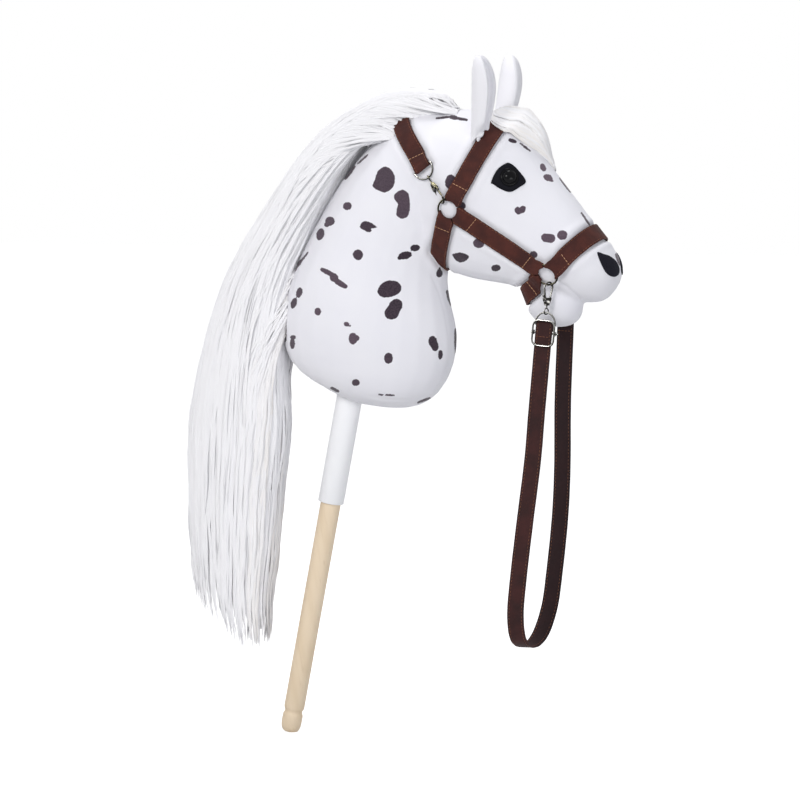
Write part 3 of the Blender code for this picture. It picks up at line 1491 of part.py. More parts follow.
def build_reins(paint, horse, halter):
    wire = halter.rein_wire
    swing = add_axis("rein_swing_axis", Vector((wire.x, 0.0, wire.z)), horse)
    down_right = down_way(REIN_LEAN_RIGHT)
    down_left = down_way(REIN_LEAN_LEFT)
    flip = Matrix.Diagonal((1.0, -1.0, 1.0, 1.0))
    frames = {"right": frame_matrix(wire, ACROSS, -down_right),
              "left": flip @ frame_matrix(wire, ACROSS, -down_left)}
    bars = {}
    for side, frame in frames.items():
        swivel = add_axis(side + "_swivel_axis", frame.translation, swing)
        names = [part + side for part in ("claw_", "gate_pin_", "swivel_eye_", "gate_")]
        build_snap(names, paint, frame, REIN_TURN, swivel, swing)
        dee_frame = frame @ Matrix.Translation((0.0, 0.0, -BAR_REACH))
        put("rein_dee_" + side, moved(dee_mesh(REIN_WIDTH), dee_frame), paint["steel"], swing)
        bars[side] = dee_frame.translation
    strap = rein_strap_mesh(bars, down_right, down_left)
    put("rein_strap", strap, paint["rein"], swing)
    build_adjuster(paint, swing, bars["right"], down_right)


def rein_strap_mesh(bars, down_right, down_left):
    """One strap from the right dee round to the left dee, folded back at both ends."""
    fold_right = rein_fold(bars["right"], down_right, -ACROSS)
    fold_left = rein_fold(bars["left"], down_left, ACROSS)
    straight = SLIDE_BELOW_DEE + REIN_STRAIGHT
    knots = [fold_right[-1] + down_right * (straight * share) for share in (0.0, 0.5, 1.0)]
    knots += [Vector(point) for point in REIN_ROUTE]
    knots += [fold_left[-1] + down_left * REIN_STRAIGHT, fold_left[-1]]
    middle = smooth_route(knots, 4)
    line = fold_right[:-1] + middle + fold_left[-2::-1]
    hints = [ACROSS.cross(-down_right)] * (len(fold_right) - 1)
    hints += [Vector((1.0, 0.0, 0.0))] * len(middle)
    hints += [ACROSS.cross(-down_left)] * (len(fold_left) - 1)
    return ribbon(line, hints, REIN_WIDTH, REIN_THICKNESS)


def slide_frame_mesh(front, behind):
    """The slide's wire frame in front of the strap, with a lug each side for the bar."""
    half_x = SLIDE_OUTER_WIDTH / 2.0 - SLIDE_WIRE
    half_z = SLIDE_OUTER_HEIGHT / 2.0 - SLIDE_WIRE
    loop = []
    for side_x, side_z, start in ((1, 1, 0.0), (-1, 1, 90.0), (-1, -1, 180.0), (1, -1, 270.0)):
        for k in range(4):
            turn = math.radians(start + 30.0 * k)
            corner_x = side_x * (half_x - SLIDE_CORNER)
            corner_z = side_z * (half_z - SLIDE_CORNER)
            loop.append(Vector((corner_x + SLIDE_CORNER * math.cos(turn), front,
                                corner_z + SLIDE_CORNER * math.sin(turn))))
    frame = tube_along(loop, SLIDE_WIRE, closed=True)
    for way in (-1.0, 1.0):
        edge = sorted((way * (half_x - SLIDE_WIRE * 0.8), way * (half_x + SLIDE_WIRE * 0.9)))
        lug = box_mesh((edge[0], front, -SLIDE_LUG_HALF),
                       (edge[1], behind + 2.0 * SLIDE_BAR_RADIUS, SLIDE_LUG_HALF))
        frame = joined(frame, lug)
    end = Vector((SLIDE_OUTER_WIDTH, 0.0, 0.0))
    middle = Vector((0.0, behind, 0.0))
    return cut(frame, rod_mesh(SLIDE_BAR_RADIUS + PIN_FIT, middle - end, middle + end, 10))


def build_adjuster(paint, swing, bar, down):
    """The slide on the right rein: its frame in front of the strap, its bar behind."""
    strap_shift = RING_WIRE + CLEARANCE + REIN_THICKNESS / 2.0
    place = bar + down * SLIDE_BELOW_DEE - ACROSS * strap_shift
    axis = add_axis("adjuster_axis", place, swing)
    frame = frame_matrix(place, ACROSS, -down)
    front = -(REIN_THICKNESS / 2.0 + CLEARANCE + SLIDE_WIRE)
    behind = REIN_THICKNESS / 2.0 + CLEARANCE + SLIDE_BAR_RADIUS
    end = Vector((SLIDE_BAR_LENGTH / 2.0, 0.0, 0.0))
    middle = Vector((0.0, behind, 0.0))
    slide_bar = rod_mesh(SLIDE_BAR_RADIUS, middle - end, middle + end, 10)
    put("slide_frame", moved(slide_frame_mesh(front, behind), frame), paint["steel"], axis)
    put("slide_bar", moved(slide_bar, frame), paint["steel"], axis)


def build():
    paint = make_materials()
    forms = Forms()
    halter = Halter(forms)
    patch = eye_patch_mesh(forms)
    seat = EyeSeat(forms.head_skin, Surface(patch))
    horse = add_axis("head_slide_axis", STICK_WAY * STICK_BARE_LENGTH)
    build_stick(paint)
    build_socket(paint, horse)
    build_plush(paint, horse, forms, halter, seat)
    build_yarn(paint, horse, forms, halter)
    build_face(paint, horse, forms, patch, seat)
    build_halter(paint, horse, halter)
    build_throat_snap(paint, horse, halter)
    build_reins(paint, horse, halter)


build()
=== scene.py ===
"""Looks of the hobby horse: the plush skin with its coat spots, the yarn mane and forelock,
the halter and reins with their stitching, the steel fittings, the stick and its tube.

Lengths are metres in the model's frame.  Places measured in the photograph are in its
pixels, (right, down), and are carried onto the object along the camera's rays.
"""
import math
import random

import bmesh
import bpy
import numpy as np
from mathutils import Matrix, Vector
from mathutils.bvhtree import BVHTree

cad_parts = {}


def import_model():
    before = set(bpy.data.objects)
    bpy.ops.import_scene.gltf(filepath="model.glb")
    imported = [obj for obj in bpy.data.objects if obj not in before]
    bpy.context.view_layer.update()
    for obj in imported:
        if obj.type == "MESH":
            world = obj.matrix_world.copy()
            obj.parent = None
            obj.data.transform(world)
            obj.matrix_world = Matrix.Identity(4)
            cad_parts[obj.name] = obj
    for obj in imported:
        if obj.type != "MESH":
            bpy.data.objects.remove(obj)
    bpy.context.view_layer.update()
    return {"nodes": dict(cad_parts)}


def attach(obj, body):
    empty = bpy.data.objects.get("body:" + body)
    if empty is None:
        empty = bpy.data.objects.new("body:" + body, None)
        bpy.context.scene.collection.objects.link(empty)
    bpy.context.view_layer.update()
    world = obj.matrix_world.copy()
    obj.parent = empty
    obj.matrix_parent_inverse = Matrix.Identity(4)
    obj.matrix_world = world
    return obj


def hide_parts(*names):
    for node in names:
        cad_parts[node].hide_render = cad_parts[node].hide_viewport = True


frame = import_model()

NODES = frame["nodes"]
ACROSS = Vector((0.0, 1.0, 0.0))
UP = Vector((0.0, 0.0, 1.0))
FLIP = Vector((1.0, -1.0, 1.0))


# Camera

PHOTO_SIZE = 800
PIXEL = 0.00107
DISTANCE = 4.0
AZIMUTH = math.radians(17.0)
ELEVATION = math.radians(5.5)
TARGET = Vector((0.12528, 0.0, 0.36570))
SIGHT_BACK = Vector((math.sin(AZIMUTH) * math.cos(ELEVATION),
                     -math.cos(AZIMUTH) * math.cos(ELEVATION), math.sin(ELEVATION)))
SIGHT_RIGHT = Vector((math.cos(AZIMUTH), math.sin(AZIMUTH), 0.0))
SIGHT_UP = SIGHT_BACK.cross(SIGHT_RIGHT)
EYE_POINT = TARGET + SIGHT_BACK * DISTANCE


def make_camera():
    data = bpy.data.cameras.new("camera")
    data.sensor_width = 36.0
    data.lens = 18.0 * DISTANCE / (PHOTO_SIZE / 2 * PIXEL)
    camera = bpy.data.objects.new("camera", data)
    bpy.context.scene.collection.objects.link(camera)
    turn = Matrix((SIGHT_RIGHT, SIGHT_UP, SIGHT_BACK)).transposed().to_4x4()
    camera.matrix_world = Matrix.Translation(EYE_POINT) @ turn
    bpy.context.scene.camera = camera


def ray_through(px, py):
    """The direction of the camera's ray through a pixel of the photograph."""
    half = PHOTO_SIZE / 2
    way = (SIGHT_RIGHT * ((px - half) * PIXEL / DISTANCE)
           + SIGHT_UP * ((half - py) * PIXEL / DISTANCE) - SIGHT_BACK)
    return way.normalized()


def pixels_of(points):
    """Pixel coordinates of an array of points."""
    offset = points - np.array(TARGET)
    depth = DISTANCE - offset @ np.array(SIGHT_BACK)
    scale = DISTANCE / PIXEL
    across = PHOTO_SIZE / 2 + scale * (offset @ np.array(SIGHT_RIGHT)) / depth
    down = PHOTO_SIZE / 2 - scale * (offset @ np.array(SIGHT_UP)) / depth
    return across, down


# Mesh helpers

def link(name, mesh, material, body, replaces=()):
    """A new smooth piece of the scene that rides on a body."""
    item = bpy.data.objects.new(name, mesh)
    bpy.context.scene.collection.objects.link(item)
    mesh.materials.clear()
    mesh.materials.append(material)
    mesh.shade_smooth()
    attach(item, body)
    if replaces:
        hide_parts(*replaces)
    return item


def mirrored(mesh):
    """Turns a mesh into its mirror image on the horse's other side."""
    mesh.transform(Matrix.Diagonal((1.0, -1.0, 1.0, 1.0)))
    mesh.flip_normals()
    return mesh


def link_pair(name, node, mesh, material):
    """A piece on the horse's right and its mirror image on the left."""
    for side, shape in (("right", mesh), ("left", mirrored(mesh.copy()))):
        link(name + "_" + side, shape, material, "horse", [node + "_" + side])


def mesh_of(name, points, faces):
    """A mesh from an array of points and an array of quads, or lists of faces."""
    mesh = bpy.data.meshes.new(name)
    mesh.from_pydata([tuple(p) for p in points], [], [tuple(int(v) for v in f) for f in faces])
    mesh.update()
    return mesh


def bmesh_of(*meshes):
    work = bmesh.new()
    for mesh in meshes:
        work.from_mesh(mesh)
    return work


def written(work, mesh):
    work.to_mesh(mesh)
    work.free()
    return mesh


def joined(name, *meshes):
    return written(bmesh_of(*meshes), bpy.data.meshes.new(name))


def tree_of(*meshes):
    """A search tree over the triangles of meshes."""
    work = bmesh_of(*meshes)
    tree = BVHTree.FromBMesh(work)
    work.free()
    return tree


def outward(mesh, merge=0.0):
    """Turns a mesh's faces outward, after points within merge of each other become one."""
    work = bmesh_of(mesh)
    if merge:
        bmesh.ops.remove_doubles(work, verts=work.verts, dist=merge)
    bmesh.ops.recalc_face_normals(work, faces=work.faces)
    return written(work, mesh)


def grid_faces(rows, columns, closed, caps=0):
    """Quads of a grid of points; closed joins the last column to the first.

    With 1 in caps the first row is filled, and with 2 the last row too.
    """
    faces = []
    for i in range(rows - 1):
        for k in range(columns if closed else columns - 1):
            a = i * columns + k
            b = i * columns + (k + 1) % columns
            faces.append((a, b, b + columns, a + columns))
    for start in (0, (rows - 1) * columns)[:caps]:
        faces.append(tuple(start + k for k in range(columns)))
    return faces


def lathe(name, profile, matrix, steps=72):
    """A solid turned about local Z from (radius, height) points."""
    points = []
    for radius, height in profile:
        for k in range(steps):
            turn = math.tau * k / steps
            points.append(matrix @ Vector((radius * math.cos(turn), radius * math.sin(turn),
                                           height)))
    return outward(mesh_of(name, points, grid_faces(len(profile), steps, True)), 0.000002)


def unit(ways):
    """An array's rows at length one."""
    return ways / (np.linalg.norm(ways, axis=-1, keepdims=True) + 1e-12)


def set_values(mesh, name, values, kind="FLOAT", field="value"):
    """Writes an attribute of the mesh's points."""
    attribute = mesh.attributes.new(name, kind, "POINT")
    attribute.data.foreach_set(field, np.asarray(values, np.float32).reshape(-1))


WIRE_REFERENCE = np.array([0.08, 1.0, 0.05])
FIBRE_STEP = 7.31
FIBRE_RATE = 40.0


def wires(name, paths, radii, sides, **values):
    """Round wires as one mesh.  paths is (wires, points, 3) and radii (wires, points).

    Each value is one number a wire and becomes a vertex attribute.  The attribute "fibre"
    runs round a wire in x and y and along it in z.
    """
    paths = np.asarray(paths, float)
    radii = np.asarray(radii, float)
    count, steps = paths.shape[:2]
    way = unit(np.gradient(paths, axis=1))
    first = unit(np.cross(way, WIRE_REFERENCE))
    second = np.cross(way, first)
    turns = np.arange(sides) * math.tau / sides
    ring = (np.cos(turns)[None, None, :, None] * first[:, :, None, :]
            + np.sin(turns)[None, None, :, None] * second[:, :, None, :])
    points = paths[:, :, None, :] + ring * radii[:, :, None, None]
    index = np.arange(count * steps * sides).reshape(count, steps, sides)
    near = index[:, :-1, :]
    far = index[:, 1:, :]
    faces = np.stack([near, np.roll(near, -1, 2), np.roll(far, -1, 2), far], -1).reshape(-1, 4)
    mesh = bpy.data.meshes.new(name)
    mesh.vertices.add(points.size // 3)
    mesh.vertices.foreach_set("co", points.reshape(-1).astype(np.float32))
    mesh.loops.add(faces.size)
    mesh.loops.foreach_set("vertex_index", faces.reshape(-1).astype(np.int32))
    mesh.polygons.add(len(faces))
    mesh.polygons.foreach_set("loop_start", np.arange(0, faces.size, 4, dtype=np.int32))
    mesh.update(calc_edges=True)
    length = np.concatenate([np.zeros((count, 1)), np.cumsum(
        np.linalg.norm(np.diff(paths, axis=1), axis=2), axis=1)], axis=1)
    fibre = np.zeros((count, steps, sides, 3))
    fibre[..., 0] = np.arange(count)[:, None, None] * FIBRE_STEP + np.cos(turns)
    fibre[..., 1] = np.sin(turns)
    fibre[..., 2] = length[:, :, None] * FIBRE_RATE
    set_values(mesh, "fibre", fibre, "FLOAT_VECTOR", "vector")
    for key, value in values.items():
        set_values(mesh, key, np.repeat(np.asarray(value, float), steps * sides))
    return mesh


def faced(mesh, paths, sides, facing, share):
    """Turns the strands' normals partly outward, as soft yarn that scatters light is lit."""
    ring = unit(coordinates(mesh).reshape(len(paths), -1, sides, 3) - paths[:, :, None, :])
    facing = facing[:, :, None, :]
    across = (ring * facing).sum(axis=3, keepdims=True)
    share = share * np.clip((across + 0.75) / 0.65, 0.0, 1.0)
    set_normals(mesh, unit(ring * (1.0 - share) + facing * share))


def set_normals(mesh, ways):
    mesh.shade_smooth()
    mesh.normals_split_custom_set_from_vertices(ways.reshape(-1, 3).tolist())


def rows_of(items, field):
    """Rows of three numbers from one of a mesh's collections."""
    values = np.empty(len(items) * 3, np.float32)
    items.foreach_get(field, values)
    return values.reshape(-1, 3).astype(float)


def coordinates(mesh):
    return rows_of(mesh.vertices, "co")


def normals(mesh):
    return rows_of(mesh.vertex_normals, "vector")


SUBDIVIDED = ("SUBSURF", {"levels": 1, "render_levels": 1})


def rounding(voxel, smoothing):
    """Modifiers that make one rounded skin of what they act on."""
    return [("REMESH", {"mode": "VOXEL", "voxel_size": voxel, "use_smooth_shade": True}),
            ("SMOOTH", {"factor": 0.5, "iterations": smoothing})]


def modify(item, setups):
    for kind, settings in setups:
        modifier = item.modifiers.new(kind.lower(), kind)
        for key, value in settings.items():
            setattr(modifier, key, value)


def applied(mesh, setups):
    """A mesh after a list of (modifier type, settings)."""
    item = bpy.data.objects.new("work", mesh)
    bpy.context.scene.collection.objects.link(item)
    modify(item, setups)
    bpy.context.view_layer.update()
    result = bpy.data.meshes.new_from_object(
        item.evaluated_get(bpy.context.evaluated_depsgraph_get()))
    bpy.data.objects.remove(item, do_unlink=True)
    return result


def eased(x):
    """0 to 1 with no corner at either end."""
    x = np.clip(x, 0.0, 1.0)
    return x * x * (3.0 - 2.0 * x)


def curve_through(knots, per_span):
    """Points on a Catmull-Rom curve through rows of numbers."""
    knots = np.asarray(knots, float)
    padded = np.vstack([knots[0] * 2.0 - knots[1], knots, knots[-1] * 2.0 - knots[-2]])
    points = []
    for i in range(1, len(padded) - 2):
        p0, p1, p2, p3 = padded[i - 1:i + 3]
        for k in range(per_span):
            t = k / per_span
            points.append(0.5 * (2.0 * p1 + (p2 - p0) * t
                                 + (2.0 * p0 - 5.0 * p1 + 4.0 * p2 - p3) * t ** 2
                                 + (3.0 * p1 - p0 - 3.0 * p2 + p3) * t ** 3))
    points.append(knots[-1])
    return np.array(points)


def closed_curve(outline, per_span):
    """Points on a smooth closed curve through an outline's points."""
    ring = curve_through(outline + outline[:3], per_span)
    return ring[per_span:per_span * (len(outline) + 1)]


def mirrored_right(points):
    """Places of points with those on the horse's left moved to its right."""
    return np.stack([points[:, 0], -np.abs(points[:, 1]), points[:, 2]], -1)


# Materials

def add_node(tree, kind, settings=None, **inputs):
    """A node; inputs are numbers, or sockets to link from, by name or as i and a number."""
    node = tree.nodes.new(kind)
    for key, value in (settings or {}).items():
        setattr(node, key, value)
    for key, value in inputs.items():
        slot = node.inputs[int(key[1:]) if key[0] == "i" and key[1:].isdigit()
                           else key.replace("_", " ")]
        if isinstance(value, bpy.types.NodeSocket):
            tree.links.new(value, slot)
        else:
            slot.default_value = value
    return node


class Paint:
    """A node material built round one Principled shader."""

    def __init__(self, name, colour, roughness, metallic=0.0, **sockets):
        self.material = bpy.data.materials.new(name)
        self.material.use_nodes = True
        self.tree = self.material.node_tree
        self.shader = self.tree.nodes["Principled BSDF"]
        self.shader.inputs["Base Color"].default_value = (*colour, 1.0)
        self.shader.inputs["Roughness"].default_value = roughness
        self.shader.inputs["Metallic"].default_value = metallic
        for key, value in sockets.items():
            self.shader.inputs[key.replace("_", " ")].default_value = value

    def add(self, kind, settings=None, **inputs):
        return add_node(self.tree, kind, settings, **inputs)

    def place(self):
        return self.add("ShaderNodeTexCoord").outputs["Object"]

    def noise(self, scale, detail=2.0, vector=None, roughness=0.5):
        return self.add("ShaderNodeTexNoise", Scale=scale, Detail=detail,
                        Roughness=roughness,
                        Vector=self.place() if vector is None else vector).outputs["Fac"]

    def attribute(self, name, kind="Fac"):
        return self.add("ShaderNodeAttribute", {"attribute_name": name}).outputs[kind]

    def math(self, operation, a, b=0.0, c=0.0):
        return self.add("ShaderNodeMath", {"operation": operation}, i0=a, i1=b, i2=c).outputs[0]

    def ramp(self, value, low, high, smooth=True):
        kind = "SMOOTHSTEP" if smooth else "LINEAR"
        return self.add("ShaderNodeMapRange", {"interpolation_type": kind}, Value=value,
                        From_Min=low, From_Max=high).outputs["Result"]

    def mix(self, factor, a, b):
        """A colour between a and b; each is a colour or a socket."""
        colours = [value if isinstance(value, bpy.types.NodeSocket) else (*value, 1.0)
                   for value in (a, b)]
        return self.add("ShaderNodeMix", {"data_type": "RGBA"}, i0=factor, i6=colours[0],
                        i7=colours[1]).outputs[2]

    def colour(self, socket):
        self.tree.links.new(socket, self.shader.inputs["Base Color"])

    def rough(self, value, low, high):
        node = self.add("ShaderNodeMapRange", Value=value, To_Min=low, To_Max=high)
        self.tree.links.new(node.outputs["Result"], self.shader.inputs["Roughness"])

    def bump(self, height, strength, distance):
        node = self.add("ShaderNodeBump", Height=height, Strength=strength, Distance=distance)
        self.tree.links.new(node.outputs["Normal"], self.shader.inputs["Normal"])

    def spread(self, value, amount, base):
        """The base with a noise's swing about its middle added."""
        return self.math("MULTIPLY_ADD", self.math("SUBTRACT", value, 0.5), amount, base)

    def stretched(self, vector, x, y, z):
        return self.add("ShaderNodeVectorMath", {"operation": "MULTIPLY"}, i0=vector,
                        i1=(x, y, z)).outputs[0]


def linear(red, green, blue):
    """A colour from 0-255 screen values."""
    result = []
    for value in (red, green, blue):
        share = value / 255.0
        result.append(share / 12.92 if share <= 0.04045 else ((share + 0.055) / 1.055) ** 2.4)
    return tuple(result)


PLUSH_LIGHT = linear(240, 239, 243)
PLUSH_SHADE = linear(233, 232, 239)
EAR_LIGHT = linear(243, 242, 245)
EAR_SHADE = linear(237, 236, 241)
SPOT_LIGHT = linear(92, 76, 88)
SPOT_DARK = linear(34, 20, 34)
YARN = linear(250, 249, 251)
YARN_GREY = linear(243, 242, 246)
YARN_BEIGE = linear(248, 240, 229)
HALTER = linear(78, 38, 31)
HALTER_DARK = linear(56, 27, 24)
HALTER_WORN = linear(98, 58, 48)
REIN = linear(60, 30, 29)
REIN_DARK = linear(42, 22, 22)
# The painted shade colour of the rein's run on the horse's left.
REIN_PAINTED_SHADE = linear(28, 15, 18)
THREAD = linear(150, 100, 72)
THREAD_BRIGHT = linear(226, 176, 136)
STEEL = linear(222, 221, 216)
# The olive tint of the nickel on the snaps and rings.
STEEL_OLIVE = linear(158, 152, 124)
# The dark of the nickel's painted reflection.
STEEL_PAINTED_REFLECTION_DARK = linear(34, 32, 28)
PINE_LIGHT = linear(237, 217, 189)
PINE_DARK = linear(228, 206, 175)
PINE_GRAIN = linear(213, 187, 154)
TUBE_WHITE = linear(249, 249, 250)
TUBE_SHADE = linear(241, 241, 244)
FELT_BASE = linear(8, 8, 11)
FELT_DARK = linear(3, 3, 6)
EYE_FELT = linear(22, 22, 31)
NOSE_FELT = linear(44, 43, 54)
EYE_BLACK = (0.001, 0.001, 0.002)
EYE_SHEEN = (0.002, 0.002, 0.003)
THREAD_DIM = 0.72
# A noise's scale and detail, then the strength and depth of the bump it makes.
PILE = (1500.0, 2.0, 0.25, 0.0003)
FELT_PILE = (1400.0, 3.0, 0.45, 0.0004)
TUBE_SKIN = (700.0, 2.0, 0.1, 0.0002)
# The side that a room's light parts are on, for the bands of painted reflection in the nickel.
PAINTED_REFLECTION_WAY = (-0.45, -0.10, 0.88)


def plush_paint():
    """Short white velour; the attribute "coat" is a distance to the nearest spot in pixels."""
    paint = Paint("plush", PLUSH_LIGHT, 0.92, Sheen_Weight=0.25, Sheen_Roughness=0.5)
    white = paint.mix(paint.noise(18.0, 3.0), PLUSH_LIGHT, PLUSH_SHADE)
    edge = paint.spread(paint.noise(420.0, 3.0), 1.5, paint.attribute("coat"))
    mottle = paint.spread(paint.noise(650.0, 4.0), 0.9, paint.attribute("coat_tone"))
    spot = paint.mix(paint.ramp(mottle, 0.0, 1.0, False), SPOT_DARK, SPOT_LIGHT)
    paint.colour(paint.mix(paint.ramp(edge, 0.35, -0.35), white, spot))
    paint.bump(paint.noise(*PILE[:2]), *PILE[2:])
    return paint.material


def speckled_paint(name, roughness, low, high, speck, bump=None, base=None, **sockets):
    """A surface that wanders between two colours; speck is a noise's scale and detail."""
    paint = Paint(name, base or low, roughness, **sockets)
    paint.colour(paint.mix(paint.noise(*speck), low, high))
    if bump:
        paint.bump(paint.noise(*bump[:2]), *bump[2:])
    return paint.material


def ear_paint():
    return speckled_paint("ear_plush", 0.92, EAR_LIGHT, EAR_SHADE, (40.0, 3.0), PILE,
                          Sheen_Weight=0.15, Sheen_Roughness=0.5)


def thread_paint(name, colour):
    dim = tuple(channel * THREAD_DIM for channel in colour)
    return speckled_paint(name, 0.8, dim, colour, (500.0, 2.0), base=colour,
                          Specular_IOR_Level=0.2)


def tube_paint():
    return speckled_paint("white_tube", 0.55, TUBE_WHITE, TUBE_SHADE, (25.0, 3.0), TUBE_SKIN)


def felt_paint(name, roughness, pile):
    return speckled_paint(name, roughness, FELT_DARK, pile, (900.0, 4.0), FELT_PILE,
                          base=FELT_BASE, Specular_IOR_Level=0.08)


def gloss_paint():
    return speckled_paint("eye_gloss", 0.04, EYE_BLACK, EYE_SHEEN, (60.0, 1.0),
                          Specular_IOR_Level=0.12)


def yarn_paint():
    """White yarn with finer threads along it; "tone" shades a strand toward grey."""
    paint = Paint("yarn", YARN, 0.7, Sheen_Weight=0.2, Sheen_Roughness=0.4,
                  Specular_IOR_Level=0.25)
    threads = paint.noise(2.8, 3.0, paint.stretched(paint.attribute("fibre", "Vector"),
                                                    1.0, 1.0, 0.22))
    grey = paint.spread(threads, 1.5, paint.attribute("tone"))
    colour = paint.mix(paint.ramp(grey, 0.65, 1.45), YARN, YARN_GREY)
    paint.colour(paint.mix(paint.attribute("beige"), colour, YARN_BEIGE))
    paint.bump(threads, 0.15, 0.0005)
    return paint.material


def leather_paint(name, colour, dark, worn):
    """Brown suede strap; "far" mixes painted shade into the part of the rein on the horse's left.
    """
    paint = Paint(name, colour, 0.75, Specular_IOR_Level=0.22)
    fine = paint.noise(1100.0, 4.0, roughness=0.7)
    body = paint.mix(paint.ramp(paint.noise(60.0, 4.0), 0.3, 0.75), dark, colour)
    body = paint.mix(paint.ramp(fine, 0.56, 0.80), body, worn)
    body = paint.mix(paint.ramp(fine, 0.46, 0.28), body, dark)
    # Painted shade: "far" darkens the rein's run on the horse's left toward a shade colour.
    paint.colour(paint.mix(paint.attribute("far"), body, REIN_PAINTED_SHADE))
    paint.rough(fine, 0.65, 0.85)
    paint.bump(fine, 0.4, 0.0004)
    return paint.material


def steel_paint(name, bright, low, high):
    """Nickel plate with a painted reflection: bands that follow the surface's slope paint in a
    room's dark parts.
    """
    paint = Paint(name, bright, 0.2, 1.0)
    slope = paint.add("ShaderNodeNewGeometry").outputs["Normal"]
    lit = paint.add("ShaderNodeVectorMath", {"operation": "DOT_PRODUCT"}, i0=slope,
                    i1=PAINTED_REFLECTION_WAY).outputs["Value"]
    painted_reflection = paint.spread(paint.noise(3.1, 2.0, slope), 1.2, lit)
    # Painted reflection: the colour runs from a dark reflected tone to the bright nickel by the
    # surface's slope.
    paint.colour(paint.mix(paint.ramp(painted_reflection, low, high), STEEL_PAINTED_REFLECTION_DARK, bright))
    paint.rough(paint.noise(500.0, 2.0), 0.12, 0.26)
    return paint.material


STICK_TILT = math.radians(10.6)
STICK_MATRIX = Matrix.Rotation(STICK_TILT, 4, "Y")


def pine_paint():
    """Bare pine: the grain runs along the stick."""
    paint = Paint("pine", PINE_LIGHT, 0.55)
    turn = paint.add("ShaderNodeVectorRotate", {"rotation_type": "Y_AXIS"}, Vector=paint.place(),
                     Angle=STICK_TILT).outputs[0]
    grain = paint.noise(1.0, 3.0, paint.stretched(turn, 300.0, 300.0, 5.0))
    rings = paint.noise(1.0, 2.0, paint.stretched(turn, 80.0, 80.0, 2.0))
    base = paint.mix(paint.ramp(rings, 0.3, 0.8), PINE_LIGHT, PINE_DARK)
    paint.colour(paint.mix(paint.ramp(grain, 0.55, 0.95), base, PINE_GRAIN))
    paint.bump(grain, 0.12, 0.0002)
    return paint.material


# Reins: one strap, the cord of this toy

REIN_WIDTH = 0.0182
REIN_THICKNESS = 0.0022
REIN_BAR_RIGHT = Vector((0.295272, -0.037804, 0.452752))
REIN_BAR_LEFT = Vector((0.297556, 0.037804, 0.452614))
REIN_DOWN_RIGHT = Vector((-0.087156, 0.0, -0.996195))
REIN_DOWN_LEFT = Vector((-0.033155, 0.0, -0.999450))
REIN_FOLD_RADIUS = 0.0024
REIN_FOLD_BEHIND = 0.0065
REIN_FOLD_FRONT = 0.0060
REIN_STRAIGHT_RIGHT = 0.0885
REIN_STRAIGHT_LEFT = 0.0800
# How quickly the rein's painted shade grows toward the horse's left, and its greatest share.
REIN_SIDE = 0.030
REIN_PAINTED_SHADE_SHARE = 0.75
REIN_RIPPLE = 0.00012
CUFF_LENGTH = 0.012
REIN_ROUTE = [
    (0.2830, -0.0400, 0.3100),
    (0.2750, -0.0405, 0.2450),
    (0.2680, -0.0405, 0.1850),
    (0.2640, -0.0370, 0.1450),
    (0.2640, -0.0245, 0.1170),
    (0.2680, 0.0000, 0.1060),
    (0.2745, 0.0245, 0.1150),
    (0.2815, 0.0370, 0.1430),
    (0.2860, 0.0405, 0.1800),
    (0.2920, 0.0405, 0.2400),
    (0.2945, 0.0400, 0.2950),
]


def rein_fold(bar, down, out):
    """The strap's end: up behind the dee's bar, over it and down in front."""
    points = [bar - out * REIN_FOLD_RADIUS + down * REIN_FOLD_BEHIND]
    for k in range(13):
        turn = math.pi * k / 12
        points.append(bar - out * (REIN_FOLD_RADIUS * math.cos(turn))
                      - down * (REIN_FOLD_RADIUS * math.sin(turn)))
    points.append(bar + out * REIN_FOLD_RADIUS + down * REIN_FOLD_FRONT)
    return points


def rein_line():
    """Points of the strap's middle line and the way its width runs at each."""
    right = rein_fold(REIN_BAR_RIGHT, REIN_DOWN_RIGHT, -ACROSS)
    left = rein_fold(REIN_BAR_LEFT, REIN_DOWN_LEFT, ACROSS)
    knots = [right[-1] + REIN_DOWN_RIGHT * (REIN_STRAIGHT_RIGHT * share)
             for share in (0.0, 0.5, 1.0)]
    knots += [Vector(point) for point in REIN_ROUTE]
    knots += [left[-1] + REIN_DOWN_LEFT * REIN_STRAIGHT_LEFT, left[-1]]
    middle = [Vector(point) for point in curve_through(knots, 14)]
    points = right[:-1] + middle + left[-2::-1]
    hints = [ACROSS.cross(-REIN_DOWN_RIGHT)] * (len(right) - 1)
    hints += [Vector((1.0, 0.0, 0.0))] * len(middle)
    hints += [ACROSS.cross(-REIN_DOWN_LEFT)] * (len(left) - 1)
    return points, hints


def strap_frames(points, hints):
    """At each point of a strap: the point, the way across and the way out of its face."""
    result = []
    for k, (point, hint) in enumerate(zip(points, hints)):
        along = (points[min(k + 1, len(points) - 1)] - points[max(k - 1, 0)]).normalized()
        flat = (hint - along * hint.dot(along)).normalized()
        result.append((point, flat, flat.cross(along)))
    return result


def strap_section(width, thickness, count=24):
    """A flat section with round edges, as (across, out) points."""
    section = []
    for k in range(count):
        turn = math.tau * (k + 0.5) / count
        c, s = math.cos(turn), math.sin(turn)
        section.append((width / 2 * math.copysign(abs(c) ** 0.28, c),
                        thickness / 2 * math.copysign(abs(s) ** 0.5, s)))
    return section


def cuff_rows(frames):
    """Rows of the line where its right and its left end are sewn down."""
    half = len(frames) // 2
    rows = []
    for bar, down, out, span in (
            (REIN_BAR_RIGHT, REIN_DOWN_RIGHT, -ACROSS, range(half)),
            (REIN_BAR_LEFT, REIN_DOWN_LEFT, ACROSS, range(half, len(frames)))):
        seam = bar + down * CUFF_LENGTH + out * REIN_FOLD_RADIUS
        rows.append(min(span, key=lambda k: (frames[k][0] - seam).length))
    return rows


